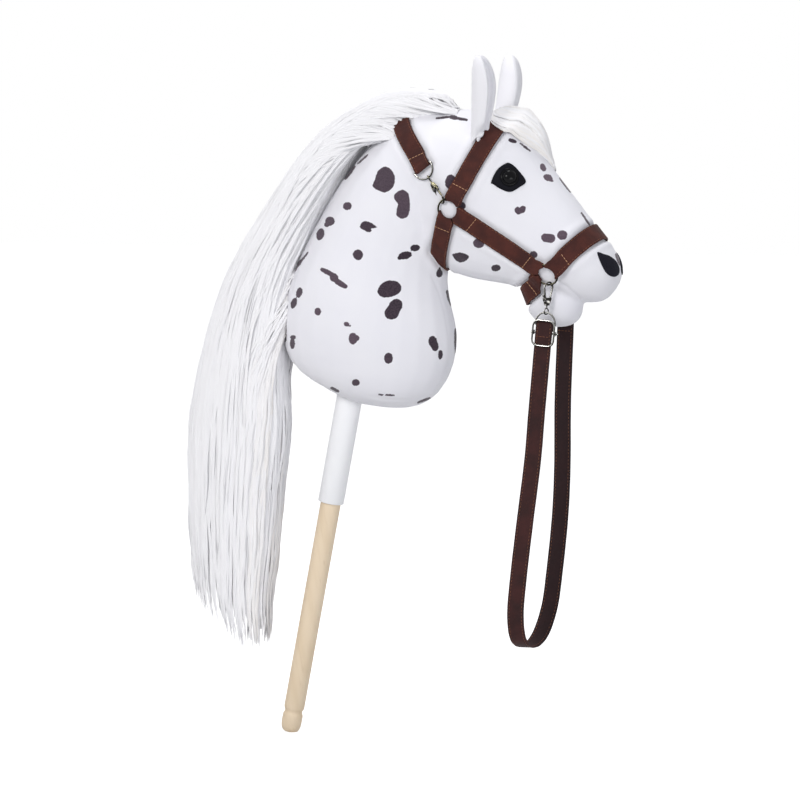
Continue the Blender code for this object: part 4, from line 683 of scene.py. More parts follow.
def rein_strap(paint, thread):
    points, hints = rein_line()
    frames = strap_frames(points, hints)
    section = strap_section(REIN_WIDTH, REIN_THICKNESS)
    surface = []
    for k, (point, flat, out) in enumerate(frames):
        for across, rise in section:
            ripple = REIN_RIPPLE * math.sin(k * 0.9) * math.sin(across * 900.0)
            surface.append(point + flat * across + out * (rise + ripple))
    mesh = outward(mesh_of("rein_strap_web", surface,
                           grid_faces(len(frames), len(section), True, 2)))
    # Painted shade: the rein darkens toward the horse's left, away from most lamps.
    left = np.clip(coordinates(mesh)[:, 1] / REIN_SIDE + 0.3, 0.0, 1.0)
    set_values(mesh, "far", left * REIN_PAINTED_SHADE_SHARE)
    strap = link("rein_strap_web", mesh, paint, "reins", ["rein_strap"])
    rise = REIN_THICKNESS / 2
    stitches = edge_stitches(frames, REIN_WIDTH / 2 - EDGE_INSET, rise)
    for index in cuff_rows(frames):
        stitches += cross_stitches(frames[index], REIN_WIDTH / 2 - CROSS_INSET, rise)
    thread_piece = stitch_piece("rein_stitches", stitches, thread, "reins", EDGE_THREAD)


# Stitches

STITCH = 0.0024
STITCH_PITCH = 0.0038
CROSS_STITCH = 0.0030
CROSS_PITCH = 0.0036
EDGE_THREAD = 0.00019
CROSS_THREAD = 0.00030
EDGE_INSET = 0.0024
CROSS_INSET = 0.0008
STITCH_RISE = 0.00005


def stitches_on(line, stitch=STITCH, pitch=STITCH_PITCH):
    """Stitches laid end to end, a gap apart, along a list of (point, out).

    Each is (start, end, out).
    """
    result = []
    travelled = 0.0
    lengths = [0.0]
    for (a, _), (b, _) in zip(line[:-1], line[1:]):
        travelled += (b - a).length
        lengths.append(travelled)

    def at(distance):
        k = int(np.searchsorted(lengths, distance, side="right")) - 1
        k = min(max(k, 0), len(line) - 2)
        share = (distance - lengths[k]) / max(lengths[k + 1] - lengths[k], 1e-9)
        return line[k][0].lerp(line[k + 1][0], share), line[k][1].lerp(line[k + 1][1], share)

    distance = (pitch - stitch) / 2.0
    while distance + stitch < travelled:
        start, out = at(distance)
        end, _ = at(distance + stitch)
        if (end - start).length > stitch * 0.6:
            result.append((start, end, out.normalized()))
        distance += pitch
    return result


def edge_stitches(frames, reach, rise):
    """Rows of stitches along both edges of both faces of a strap."""
    result = []
    for side in (-1, 1):
        for face in (1, -1):
            result += stitches_on([(point + flat * (side * reach) + out * (face * rise),
                                    out * face) for point, flat, out in frames])
    return result


def cross_stitches(row, reach, rise):
    point, flat, out = row
    result = []
    for face in (1, -1):
        result += stitches_on([(point + flat * (reach * share) + out * (face * rise), out * face)
                               for share in (-1.0, 1.0)], CROSS_STITCH, CROSS_PITCH)
    return result


def stitch_piece(name, stitches, material, body, radius):
    paths = []
    for start, end, out in stitches:
        dip = out * (radius * 1.2)
        rise = out * STITCH_RISE
        paths.append([start - dip, start.lerp(end, 0.2) + rise, start.lerp(end, 0.8) + rise,
                      end - dip])
    radii = [[radius * 0.6, radius, radius, radius * 0.6]] * len(paths)
    return link(name, wires(name, paths, radii, 6), material, body)


# Plush skin: the stuffed forms, repeated from the part, under one fabric

CAGE_SIDES = 12
CAGE_SWELL = 1.035
HEAD_START = Vector((0.1586, 0.0, 0.6224))
HEAD_ANGLE = math.radians(-31.04)
HEAD_WAY = Vector((math.cos(HEAD_ANGLE), 0.0, math.sin(HEAD_ANGLE)))
HEAD_UP = Vector((-HEAD_WAY.z, 0.0, HEAD_WAY.x))
HEAD_SECTIONS = [
    (-0.028, 0.028, 0.004, 0.016),
    (-0.018, 0.050, 0.028, 0.030),
    (0.000, 0.064, 0.058, 0.042),
    (0.022, 0.078, 0.076, 0.049),
    (0.045, 0.085, 0.087, 0.052),
    (0.070, 0.083, 0.090, 0.052),
    (0.095, 0.074, 0.087, 0.050),
    (0.120, 0.062, 0.077, 0.047),
    (0.145, 0.053, 0.066, 0.046),
    (0.175, 0.041, 0.055, 0.046),
    (0.200, 0.0285, 0.047, 0.044),
    (0.222, 0.025, 0.039, 0.037),
    (0.238, 0.011, 0.030, 0.024),
]
HEAD_POLES = ((-0.034, 0.010), (0.246, -0.010))
NECK_SECTIONS = [
    (0.0920, 0.3640, 80.0, 0.045, 0.034, 0.030),
    (0.0920, 0.3750, 80.0, 0.066, 0.068, 0.046),
    (0.0920, 0.3940, 83.0, 0.088, 0.092, 0.057),
    (0.0925, 0.4300, 87.5, 0.098, 0.099, 0.063),
    (0.0950, 0.4640, 81.0, 0.093, 0.100, 0.061),
    (0.1030, 0.5010, 73.0, 0.078, 0.090, 0.055),
    (0.1190, 0.5420, 66.5, 0.060, 0.082, 0.049),
    (0.1380, 0.5840, 65.0, 0.052, 0.073, 0.046),
    (0.1570, 0.6240, 66.0, 0.044, 0.060, 0.042),
    (0.1700, 0.6540, 66.0, 0.036, 0.040, 0.032),
    (0.1760, 0.6680, 66.0, 0.024, 0.020, 0.018),
]
NECK_POLES = ((0.0920, 0.3580), (0.1790, 0.6750))
CHIN_SECTIONS = [
    (0.496, 0.284, 0.314, 0.020),
    (0.484, 0.270, 0.325, 0.028),
    (0.469, 0.267, 0.327, 0.030),
    (0.457, 0.272, 0.324, 0.027),
    (0.450, 0.284, 0.315, 0.018),
]
CHIN_POLES = ((0.300, 0.501), (0.300, 0.447))
SKIN_VOXEL = 0.0020
SKIN_SMOOTHING = 19
SKIN_GROW = 0.0006


def cage_ring(middle, forward, reach_a, reach_b, half_width):
    ring = []
    for k in range(CAGE_SIDES):
        turn = math.tau * k / CAGE_SIDES
        reach = reach_a if math.cos(turn) > 0.0 else reach_b
        ring.append(middle + forward * ((reach + SKIN_GROW) * math.cos(turn) * CAGE_SWELL)
                    + ACROSS * ((half_width + SKIN_GROW) * math.sin(turn) * CAGE_SWELL))
    return ring


def cage(rings, poles):
    """The coarse form of a stuffed piece, once subdivided."""
    count = CAGE_SIDES
    points = [point for ring in rings for point in ring] + list(poles)
    faces = grid_faces(len(rings), count, True)
    last = (len(rings) - 1) * count
    for k in range(count):
        faces.append((len(points) - 2, (k + 1) % count, k))
        faces.append((len(points) - 1, last + k, last + (k + 1) % count))
    mesh = outward(mesh_of("cage", points, faces))
    return applied(mesh, [SUBDIVIDED])


def head_cage():
    rings = [cage_ring(HEAD_START + HEAD_WAY * along, HEAD_UP, up, down, half)
             for along, up, down, half in HEAD_SECTIONS]
    return cage(rings, [HEAD_START + HEAD_WAY * along + HEAD_UP * up for along, up in HEAD_POLES])


def neck_cage():
    rings = []
    for x, z, degrees, front, back, half in NECK_SECTIONS:
        turn = math.radians(degrees)
        forward = Vector((math.sin(turn), 0.0, -math.cos(turn)))
        rings.append(cage_ring(Vector((x, 0.0, z)), forward, front, back, half))
    return cage(rings, [Vector((x, 0.0, z)) for x, z in NECK_POLES])


def chin_cage():
    rings = []
    for z, rear, front, half in CHIN_SECTIONS:
        reach = (front - rear) / 2.0
        rings.append(cage_ring(Vector((rear + reach, 0.0, z)), Vector((1.0, 0.0, 0.0)),
                               reach, reach, half))
    return cage(rings, [Vector((x, 0.0, z)) for x, z in CHIN_POLES])


# Coat spots in the photograph's pixels: a tone from dark (0) to light (1), then shapes.
# Five numbers are an ellipse (x, y, half width, half height, degrees) or a dash
# (x1, y1, x2, y2, half thickness); more points are an outline.
SPOTS = [
    (0.45, [[(385.0, 166.5), (391.5, 170.0), (395.0, 178.0), (393.0, 187.0), (386.0, 192.3),
             (378.5, 190.5), (372.6, 186.3), (375.0, 179.0), (378.0, 171.0)]]),
    (0.60, [[(402.0, 189.8), (408.0, 193.0), (409.8, 201.0), (409.6, 210.0), (407.0, 217.0),
             (401.5, 218.7), (396.5, 215.0), (396.8, 209.0), (398.0, 204.0), (394.5, 199.5),
             (394.6, 194.0)]]),
    (0.40, [(450.4, 181.8, 5.4, 7.4, 10.0)]),
    (0.40, [(461.2, 206.0, 4.4, 4.2, 0.0)]),
    (0.70, [(517.9, 210.6, 3.2, 4.0, -20.0), (522.4, 209.6, 3.2, 4.2, 25.0)]),
    (0.95, [(543.0, 167.5, 2.8, 4.3, -28.0)]),
    (0.95, [(548.0, 177.6, 4.8, 3.3, 22.0), (550.5, 179.8, 3.2, 1.6, 25.0)]),
    (0.85, [[(540.8, 236.5), (544.0, 233.6), (549.0, 233.8), (553.5, 234.8), (555.3, 239.0),
             (552.5, 242.8), (547.5, 242.4), (543.0, 241.2)]]),
    (0.85, [(562.2, 235.1, 5.3, 4.8, -12.0)]),
    (0.55, [(533.6, 254.6, 4.0, 3.6, 0.0)]),
    (0.60, [(478.6, 243.4, 5.6, 4.8, 10.0)]),
    (0.15, [[(452.1, 254.6), (457.0, 253.0), (462.0, 252.8), (469.2, 256.2), (465.5, 261.0),
             (460.0, 262.6), (455.5, 260.0)]]),
    (0.10, [(495.9, 268.0, 4.8, 3.4, -6.0)]),
    (0.25, [(512.4, 140.8, 4.5, 2.1, 18.0)]),
    (0.45, [(520.3, 143.2, 530.2, 151.0, 0.9), (525.8, 147.6, 3.4, 1.3, 38.0)]),
    (0.25, [(436.5, 118.2, 453.0, 116.6, 1.2), (453.5, 117.4, 4.4, 2.4, 8.0),
            (456.0, 118.2, 466.8, 119.8, 1.5)]),
    (0.05, [(415.1, 247.9, 5.0, 3.4, -8.0)]),
    (0.05, [(405.2, 255.4, 6.8, 3.9, -12.0), (401.0, 257.4, 4.2, 2.0, -22.0)]),
    (0.10, [(439.4, 273.4, 3.3, 4.2, 8.0), (439.6, 269.8, 1.5, 2.6, 0.0)]),
    (0.20, [[(377.3, 292.0), (380.0, 285.5), (386.0, 281.0), (394.0, 280.6), (400.0, 284.0),
             (401.3, 289.5), (397.0, 294.5), (389.0, 297.3), (381.5, 296.8)]]),
    (0.20, [[(396.0, 298.8), (401.5, 301.0), (402.3, 306.5), (399.5, 312.0), (397.5, 317.0),
             (391.5, 319.6), (385.6, 317.0), (384.8, 311.0), (388.0, 306.5), (390.5, 302.0)]]),
    (0.55, [(367.6, 154.9, 357.8, 163.7, 0.95)]),
    (0.45, [(354.2, 166.6, 345.6, 178.2, 1.9)]),
    (0.65, [(347.3, 206.1, 4.5, 4.0, -10.0)]),
    (0.65, [(330.0, 221.2, 4.8, 4.6, -20.0), (327.2, 224.4, 3.2, 2.6, -35.0)]),
    (0.60, [(320.3, 234.3, 3.9, 6.1, 14.0)]),
    (0.25, [[(359.8, 227.0), (361.8, 222.6), (366.0, 221.2), (371.0, 222.6), (375.0, 225.4),
             (377.6, 227.0), (374.0, 228.2), (371.0, 228.6), (371.8, 231.6), (369.0, 232.4),
             (364.5, 230.6)]]),
    (0.40, [(357.9, 254.6, 5.2, 5.0, 0.0), (358.4, 258.0, 3.0, 2.4, 0.0)]),
    (0.70, [(322.0, 269.4, 335.0, 276.2, 2.5), (334.0, 277.6, 4.4, 4.2, 40.0),
            (334.5, 279.8, 345.2, 286.6, 2.9)]),
    (0.60, [(307.8, 252.4, 299.8, 263.4, 1.0), (299.6, 262.8, 1.8, 4.2, 32.0),
            (298.8, 265.0, 294.8, 271.2, 0.8)]),
    (0.55, [(299.3, 292.6, 3.1, 5.3, 14.0)]),
    (0.45, [(293.8, 303.1, 3.0, 5.6, 18.0)]),
    (0.85, [(317.8, 311.5, 3.4, 4.0, -6.0)]),
    (0.90, [(346.6, 324.2, 3.0, 2.3, 12.0), (349.2, 325.4, 1.8, 1.4, 20.0)]),
    (0.85, [(352.9, 338.6, 4.2, 6.0, 0.0), (356.6, 338.0, 3.0, 3.0, 0.0)]),
    (0.50, [(293.0, 337.4, 3.2, 2.2, -8.0), (292.4, 343.4, 2.6, 5.6, 0.0)]),
    (0.40, [(388.5, 358.3, 4.5, 5.5, 0.0)]),
    (0.15, [(433.0, 342.0, 4.4, 6.2, -12.0), (435.0, 346.6, 3.6, 4.6, 0.0)]),
    (0.15, [(440.4, 354.6, 2.4, 4.8, 4.0)]),
    (0.45, [(355.8, 382.6, 4.0, 3.4, 0.0)]),
    (0.40, [(378.6, 394.4, 383.0, 394.9, 0.9)]),
    (0.40, [(385.6, 394.8, 394.0, 395.4, 1.0)]),
    (0.55, [(581.4, 212.8, 589.4, 224.8, 1.1)]),
    (0.30, [(418.0, 402.4, 429.6, 398.2, 1.3)]),
    (0.75, [(560.5, 178.4, 570.5, 191.4, 1.7)]),
    (0.60, [(616.2, 254.4, 620.0, 264.5, 1.6)]),
    (0.15, [(447.6, 291.6, 451.4, 304.6, 2.2)]),
    (0.10, [(456.8, 330.0, 457.6, 356.0, 3.0)]),
    (0.20, [(283.4, 319.0, 284.6, 340.0, 2.6)]),
    (0.30, [(331.5, 388.0, 338.0, 391.2, 1.6)]),
]
FRONT_SPOTS = [
    ((0.335, 0.012, 0.575), 0.0055, 0.80),
    ((0.300, 0.010, 0.612), 0.0048, 0.80),
    ((0.150, 0.010, 0.440), 0.0070, 0.20),
    ((0.196, -0.008, 0.405), 0.0052, 0.20),
    ((0.190, 0.014, 0.470), 0.0060, 0.15),
    ((0.010, 0.006, 0.432), 0.0060, 0.30),
]
TURNED_LOSS = 60.0
LARGEST_HALF = 60.0
FAR_SPOT = 6.0
MIDDLE_TONE = 0.5
NEAR_LIMIT = -0.10
FAR_LIMIT = 0.12
# How far the left side's spots are moved up and along, and how quickly that changes.
SPOT_LIFT, SPOT_LIFT_RATE = 0.006, 41.0
SPOT_SHIFT, SPOT_SHIFT_RATE = 0.007, 37.0


def segment_gap(px, py, ends):
    """Distances in pixels from a straight line, and how far along it each is nearest."""
    x1, y1, x2, y2 = ends
    way = np.array([x2 - x1, y2 - y1], float)
    share = np.clip(((px - x1) * way[0] + (py - y1) * way[1]) / (way @ way + 1e-12), 0.0, 1.0)
    return np.hypot(px - x1 - way[0] * share, py - y1 - way[1] * share), share


def outline_distance(px, py, outline):
    """Signed distance to the smooth closed curve through an outline's points."""
    ring = closed_curve(outline, 4)
    best = np.full(len(px), np.inf)
    inside = np.zeros(len(px), bool)
    for (x1, y1), (x2, y2) in zip(ring, np.roll(ring, -1, axis=0)):
        best = np.minimum(best, segment_gap(px, py, (x1, y1, x2, y2))[0])
        rise = y2 - y1 if abs(y2 - y1) > 1e-9 else 1e-9
        inside ^= ((y1 > py) != (y2 > py)) & (px < x1 + (py - y1) * (x2 - x1) / rise)
    return np.where(inside, -best, best)


def shape_distance(px, py, shape):
    """Signed distance in pixels to an outline, a dash or an ellipse."""
    if len(shape) > 5:
        return outline_distance(px, py, shape)
    if shape[3] > LARGEST_HALF:
        gap, share = segment_gap(px, py, shape[:4])
        return gap - shape[4] * (0.80 + 0.20 * np.sin(np.pi * share))
    x, y, half_x, half_y, degrees = shape
    c, s = math.cos(math.radians(degrees)), math.sin(math.radians(degrees))
    a = (px - x) * c + (py - y) * s
    b = -(px - x) * s + (py - y) * c
    near = np.hypot(a / half_x, b / half_y)
    slope = np.hypot(a / half_x ** 2, b / half_y ** 2) + 1e-9
    return near * (near - 1.0) / slope


def coat_of(points, ways):
    """The coat's distance and tone at each point, by its pixel.

    The spots taper off where the surface turns away from the view they were placed in, and
    the horse's left repeats its right with the spots moved a little.
    """
    facing = ways @ np.array(SIGHT_BACK)
    near_side = facing > NEAR_LIMIT
    far_facing = (ways * (1.0, -1.0, 1.0)) @ np.array(SIGHT_BACK)
    turned = np.clip(np.where(near_side, -facing, FAR_LIMIT - far_facing), 0.0, 1.0)
    source = points.copy()
    source[~near_side, 1] *= -1.0
    moved = np.where(near_side, 0.0, 1.0)
    source[:, 2] += moved * SPOT_LIFT * np.sin(source[:, 0] * SPOT_LIFT_RATE)
    source[:, 0] += moved * SPOT_SHIFT * np.sin(source[:, 2] * SPOT_SHIFT_RATE + 1.0)
    px, py = pixels_of(source)
    distance = np.full(len(points), FAR_SPOT)
    tone = np.full(len(points), MIDDLE_TONE)

    def lay(gap, spot_tone):
        closer = gap < distance
        distance[closer] = gap[closer]
        tone[closer] = spot_tone

    for spot_tone, shapes in SPOTS:
        best = np.minimum.reduce([shape_distance(px, py, shape) for shape in shapes])
        lay(best + turned * TURNED_LOSS, spot_tone)
    for place, reach, spot_tone in FRONT_SPOTS:
        gap = np.linalg.norm((points - np.array(place)) * (1.0, 1.0, 0.8), axis=1)
        lay((gap - reach) / PIXEL, spot_tone)
    return distance, tone


# Sewn lines in the skin, in pixels, with their depth and half width in metres.
SEAMS = [
    ([(432, 276), (440, 293), (445, 312), (449, 335), (450, 355), (446, 376), (436, 391)],
     0.0005, 0.0016),
    ([(372, 396.5), (388, 399.5), (404, 400.5), (418, 398)], 0.0006, 0.0014),
    ([(349.5, 393), (350, 382)], 0.0007, 0.0012),
    ([(558, 281), (566, 287), (573, 292.5), (580, 299)], 0.0016, 0.0015),
]


def seam_depth(px, py):
    """How far the sewn lines pull the fabric in at each pixel."""
    total = np.zeros(len(px))
    for line, depth, half in SEAMS:
        best = np.minimum.reduce([segment_gap(px, py, (*a, *b))[0]
                                  for a, b in zip(line[:-1], line[1:])])
        total += depth * np.exp(-(best * PIXEL / half) ** 2)
    return total


STICK_WAY = Vector((math.sin(STICK_TILT), 0.0, math.cos(STICK_TILT)))
RINGS = {
    "cheek_ring": (Vector((0.194947, -0.053922, 0.572582)),
                   Vector((-0.098449, -0.986033, -0.134341))),
    "muzzle_ring": (Vector((0.298252, -0.043056, 0.505434)),
                    Vector((-0.119050, -0.885489, -0.449151))),
}
RING_RADIUS = 0.0118
RING_WIRE = 0.0010
RING_PLANE_REACH = 0.0130
RING_PLANE_EDGE = 0.004
RING_PLANE_SPAN = 0.012
RING_PLANE_DEPTH = -0.0002
RING_PUSH = (-0.004, 0.002)
STRAPS = ["crown_strap", "browband", "throat_strap", "cheek_strap_right", "cheek_strap_left",
          "noseband", "chin_strap"]
STRAP_REACH = 0.022
STRAP_DENT = 0.0016
DENT_WIDTH = 0.0026
STRAP_SWELL = 0.0011
SWELL_AT = 0.0065
SWELL_WIDTH = 0.0042
GATHER_TOP = 0.400
GATHER_FADE = 0.03
GATHER_DEPTH = 0.0009
GATHER_RADIUS = 0.014
GATHER_WIDTH = 0.013
STUFFING_DEPTH = 0.0003


def strap_push(points):
    """How far the straps dent the skin, with a swell beside each."""
    straps = tree_of(*[NODES[name].data for name in STRAPS])
    push = np.zeros(len(points))
    for k, point in enumerate(points):
        gap = straps.find_nearest(Vector(point), STRAP_REACH)[3]
        if gap is not None:
            push[k] = (STRAP_SWELL * math.exp(-((gap - SWELL_AT) / SWELL_WIDTH) ** 2)
                       - STRAP_DENT * math.exp(-(gap / DENT_WIDTH) ** 2))
    return push


def gathers(points):
    """The folds where the neck is gathered round the tube."""
    axis = np.array(STICK_WAY)
    along = points @ axis
    radial = points - along[:, None] * axis
    turn = np.arctan2(radial[:, 1], radial[:, 0])
    low = np.clip((GATHER_TOP - along) / GATHER_FADE, 0.0, 1.0)
    fold = np.sin(15.0 * turn + 2.0 * np.sin(3.0 * turn)) + 0.4 * np.sin(31.0 * turn)
    reach = np.linalg.norm(radial, axis=1)
    return low * GATHER_DEPTH * fold * np.exp(-((reach - GATHER_RADIUS) / GATHER_WIDTH) ** 2)


def stuffing(points):
    """The slow unevenness of a stuffed form."""
    x, y, z = points.T
    return STUFFING_DEPTH * (np.sin(x * 60.0 + 3.0 * np.sin(z * 40.0))
                             * np.sin(z * 52.0 + 1.0) * np.sin(y * 47.0 + 2.0))


def shape_skin(mesh):
    """Presses the straps, rings and seams into the skin and gathers it round the tube."""
    points = coordinates(mesh)
    push = strap_push(points)
    right = mirrored_right(points)
    for centre, normal in RINGS.values():
        gap = right - np.array(centre)
        out = gap @ np.array(normal)
        reach = np.linalg.norm(gap - out[:, None] * np.array(normal), axis=1)
        near = eased((RING_PLANE_REACH - reach) / RING_PLANE_EDGE)
        near = near * (np.abs(out) < RING_PLANE_SPAN)
        push = push * (1.0 - near) + near * np.clip(RING_PLANE_DEPTH - out, *RING_PUSH)
    push += gathers(points) + stuffing(points) - seam_depth(*pixels_of(right))
    points += normals(mesh) * push[:, None]
    mesh.vertices.foreach_set("co", points.reshape(-1).astype(np.float32))
    mesh.update()


def plush_skin(material):
    mesh = applied(joined("skin", head_cage(), neck_cage(), chin_cage()),
                   rounding(SKIN_VOXEL, SKIN_SMOOTHING))
    shape_skin(mesh)
    distance, tone = coat_of(coordinates(mesh), normals(mesh))
    set_values(mesh, "coat", distance)
    set_values(mesh, "coat_tone", tone)
    link("plush_skin", mesh, material, "horse", ["head", "neck", "chin"])
    return tree_of(mesh)


# Ears

EAR_FOOT = Vector((0.2175, -0.0400, 0.6480))
EAR_TIP = Vector((0.2240, -0.0585, 0.7330))
EAR_SHELL = 0.0042
EAR_OPEN = Vector((0.998, -0.060, 0.0)).normalized()
EAR_SIDE = Vector((-EAR_OPEN.y, EAR_OPEN.x, 0.0))
EAR_DEPTH = 0.94
EAR_WIDTH = 0.72
EAR_COLUMNS = 27
EAR_LEVELS = 40
EAR_FOOT_BACK = -0.10
EAR_FOOT_FRONT = 0.10
EAR_TIP_BEND = 0.0035
EAR_TIP_FROM, EAR_TIP_SPAN = 0.80, 0.20
EAR_SEWN = 0.55
EAR_SEWN_LEVEL = 0.16
EAR_SEWN_RISE = 0.0004
EAR_FILLED = {"right": 0.45, "left": 1.15}
EAR_INSET = 0.06
EAR_LINING = 0.8
EAR_WRINKLE = 0.0008
EAR_WRAP_FOOT = 118.0
EAR_WRAP_TIP = 96.0
EAR_ROWS = [
    (-0.12, 0.0098),
    (0.16, 0.0116),
    (0.42, 0.0153),
    (0.62, 0.0170),
    (0.78, 0.0160),
    (0.89, 0.0128),
    (0.96, 0.0080),
    (0.995, 0.0030),
]


def ear_surface(rows, skin, inset, depth):
    """A sheet of the ear; inset pulls it in from the rims and depth fills its cup."""
    axis = EAR_TIP - EAR_FOOT
    top = EAR_ROWS[-1][0]
    points = []
    for i in range(EAR_LEVELS):
        level = i / (EAR_LEVELS - 1.0)
        sewn = eased(1.0 - level / EAR_SEWN_LEVEL)
        for k in range(EAR_COLUMNS):
            side = 2.0 * k / (EAR_COLUMNS - 1.0) - 1.0
            foot = EAR_FOOT_BACK + (EAR_FOOT_FRONT - EAR_FOOT_BACK) * abs(side) ** 1.5
            share = foot + (top - foot) * level
            radius = float(np.interp(share, rows[:, 0], rows[:, 1]))
            wrap = math.radians(EAR_WRAP_FOOT + (EAR_WRAP_TIP - EAR_WRAP_FOOT) * max(share, 0.0))
            turn = wrap * side * (1.0 - inset)
            bend = EAR_TIP_BEND * max(0.0, (share - EAR_TIP_FROM) / EAR_TIP_SPAN) ** 2
            rim, reach = (radius * EAR_DEPTH * (1.0 - math.cos(angle))
                          for angle in (wrap * (1.0 - inset), turn))
            reach += (rim - reach) * depth
            gather = math.exp(-((share - 0.06) / 0.10) ** 2)
            wrinkle = EAR_WRINKLE * math.sin(10.0 * turn + 2.0) * gather
            point = (EAR_FOOT + axis * share + EAR_OPEN * (reach + bend - wrinkle)
                     + EAR_SIDE * (radius * EAR_WIDTH * math.sin(turn)))
            if sewn > 0.0:
                near, normal, _, _ = skin.find_nearest(point)
                point = point.lerp(near + normal * EAR_SEWN_RISE, sewn * EAR_SEWN)
            points.append(point)
    return mesh_of("ear", points, grid_faces(EAR_LEVELS, EAR_COLUMNS, False))


def ear_layer(rows, skin, inset, depth, thickness):
    return applied(ear_surface(rows, skin, inset, depth), [
        ("SOLIDIFY", {"thickness": thickness, "offset": 0.0, "use_even_offset": False}),
        SUBDIVIDED])


def ear(side, material, skin):
    """A cupped ear of doubled plush with a filled lining, gathered at its foot."""
    rows = curve_through(EAR_ROWS, 5)
    mesh = joined("ear", ear_layer(rows, skin, 0.0, 0.0, EAR_SHELL),
                  ear_layer(rows, skin, EAR_INSET, EAR_FILLED[side], EAR_SHELL * EAR_LINING))
    if side == "left":
        mirrored(mesh)
    link("plush_ear_" + side, mesh, material, "horse", ["ear_" + side])


# Felt patches and eyes

EYE_OUTLINE = [(491.0, 182.0), (497.0, 169.8), (506.3, 163.2), (511.6, 164.2), (517.8, 169.8),
               (525.8, 181.2), (519.6, 187.2), (510.4, 192.0), (501.0, 189.4), (493.2, 184.4)]
NOSTRIL_OUTLINE = [(597.3, 252.0), (603.5, 254.0), (609.0, 255.8), (615.0, 260.2),
                   (618.2, 265.2), (619.4, 270.0), (618.6, 274.2), (615.4, 276.8),
                   (611.8, 276.6), (608.0, 274.8), (604.6, 271.0), (601.2, 264.4),
                   (598.4, 257.6)]
EYE_RELIEF = [(0.0, 0.0012), (0.60, 0.0012), (0.78, 0.0010), (0.84, 0.0009), (0.90, 0.0016),
              (0.95, 0.0017), (0.99, 0.0010), (1.0, -0.0006)]
NOSTRIL_RELIEF = [(0.0, 0.0013), (0.5, 0.0013), (0.80, 0.0012), (0.92, 0.0011), (0.98, 0.0006),
                  (1.0, -0.0006)]


def patch_mesh(name, outline, relief, skin):
    """A felt piece laid on the skin inside an outline of pixels."""
    ring = closed_curve(outline, 8)
    middle = ring.mean(axis=0)
    points = []
    for share, height in relief:
        for px, py in middle + (ring - middle) * max(share, 0.02):
            hit, normal, _, _ = skin.ray_cast(EYE_POINT, ray_through(px, py))
            points.append(hit + normal * height)
    return outward(mesh_of(name, points, grid_faces(len(relief), len(ring), True, 1)))


def felt_patches(skin, eye_felt, nose_felt):
    for name, outline, relief, material in (
            ("eye_patch", EYE_OUTLINE, EYE_RELIEF, eye_felt),
            ("nostril", NOSTRIL_OUTLINE, NOSTRIL_RELIEF, nose_felt)):
        link_pair("felt_" + name, name, patch_mesh(name, outline, relief, skin), material)


EYE_SEAT = Matrix(((0.921335, -0.116707, 0.370838, 0.257418),
                   (0.388769, 0.276583, -0.878841, -0.042577),
                   (0.0, 0.953877, 0.300197, 0.606362),
                   (0.0, 0.0, 0.0, 1.0)))
EYE_BACK = 0.001861
EYE_RADIUS = 0.0098
EYE_HEIGHT = 0.0062
EYE_BALL = 0.0074
EYE_STEP = 0.0016
EYE_STEM = 0.0022
EYE_STEM_LENGTH = 0.0150


def eyes(material):
    """A glossy ball with a step round it, on its stem."""
    profile = [(0.0, EYE_HEIGHT)]
    for degrees in range(6, 91, 6):
        turn = math.radians(degrees)
        profile.append((EYE_BALL * math.sin(turn),
                        EYE_STEP + (EYE_HEIGHT - EYE_STEP) * math.cos(turn)))
    profile += [(EYE_BALL + 0.0003, 0.0013), (EYE_BALL + 0.0008, EYE_STEP),
                (EYE_RADIUS - 0.0006, 0.0014), (EYE_RADIUS, 0.0006), (EYE_RADIUS - 0.0004, 0.0),
                (EYE_STEM, 0.0), (EYE_STEM, 0.0006 - EYE_STEM_LENGTH),
                (EYE_STEM - 0.0006, -EYE_STEM_LENGTH), (0.0, -EYE_STEM_LENGTH)]
    profile = [(radius, EYE_BACK + height) for radius, height in profile]
    link_pair("glossy_eye", "eye", lathe("eye", profile, EYE_SEAT, 64), material)


# Yarn mane, in the sections of the CAD form and one more for its loose tips

MANE_SECTIONS = [
    (0.1930, 0.6860, 180.0, 0.0050, 0.0080, 0.009),
    (0.1500, 0.6860, 184.0, 0.0100, 0.0140, 0.020),
    (0.1180, 0.6800, 200.0, 0.0125, 0.0200, 0.026),
    (0.0860, 0.6630, 214.0, 0.0150, 0.0260, 0.031),
    (0.0560, 0.6370, 226.0, 0.0190, 0.0300, 0.035),
    (0.0290, 0.6000, 237.0, 0.0230, 0.0330, 0.038),
    (0.0020, 0.5540, 241.0, 0.0280, 0.0340, 0.041),
    (-0.0230, 0.5060, 247.0, 0.0340, 0.0360, 0.043),
    (-0.0400, 0.4560, 254.0, 0.0400, 0.0420, 0.045),
    (-0.0500, 0.4000, 262.0, 0.0460, 0.0470, 0.046),
    (-0.0550, 0.3400, 267.0, 0.0540, 0.0540, 0.046),
    (-0.0600, 0.2600, 270.0, 0.0510, 0.0510, 0.044),
    (-0.0620, 0.2000, 270.0, 0.0480, 0.0480, 0.040),
    (-0.0635, 0.1500, 269.0, 0.0430, 0.0430, 0.034),
    (-0.0610, 0.1180, 268.0, 0.0390, 0.0390, 0.028),
    (-0.0580, 0.0900, 268.0, 0.0340, 0.0340, 0.022),
]
MANE_STEPS = 42
MANE_SIDES = 4
MANE_SPREAD = 0.18
SPREAD_AT = 0.27
SPREAD_WIDTH = 0.11
MANE_FLAT = 0.40
MANE_SOFT = 0.80
MANE_LEAST_UP = 0.15
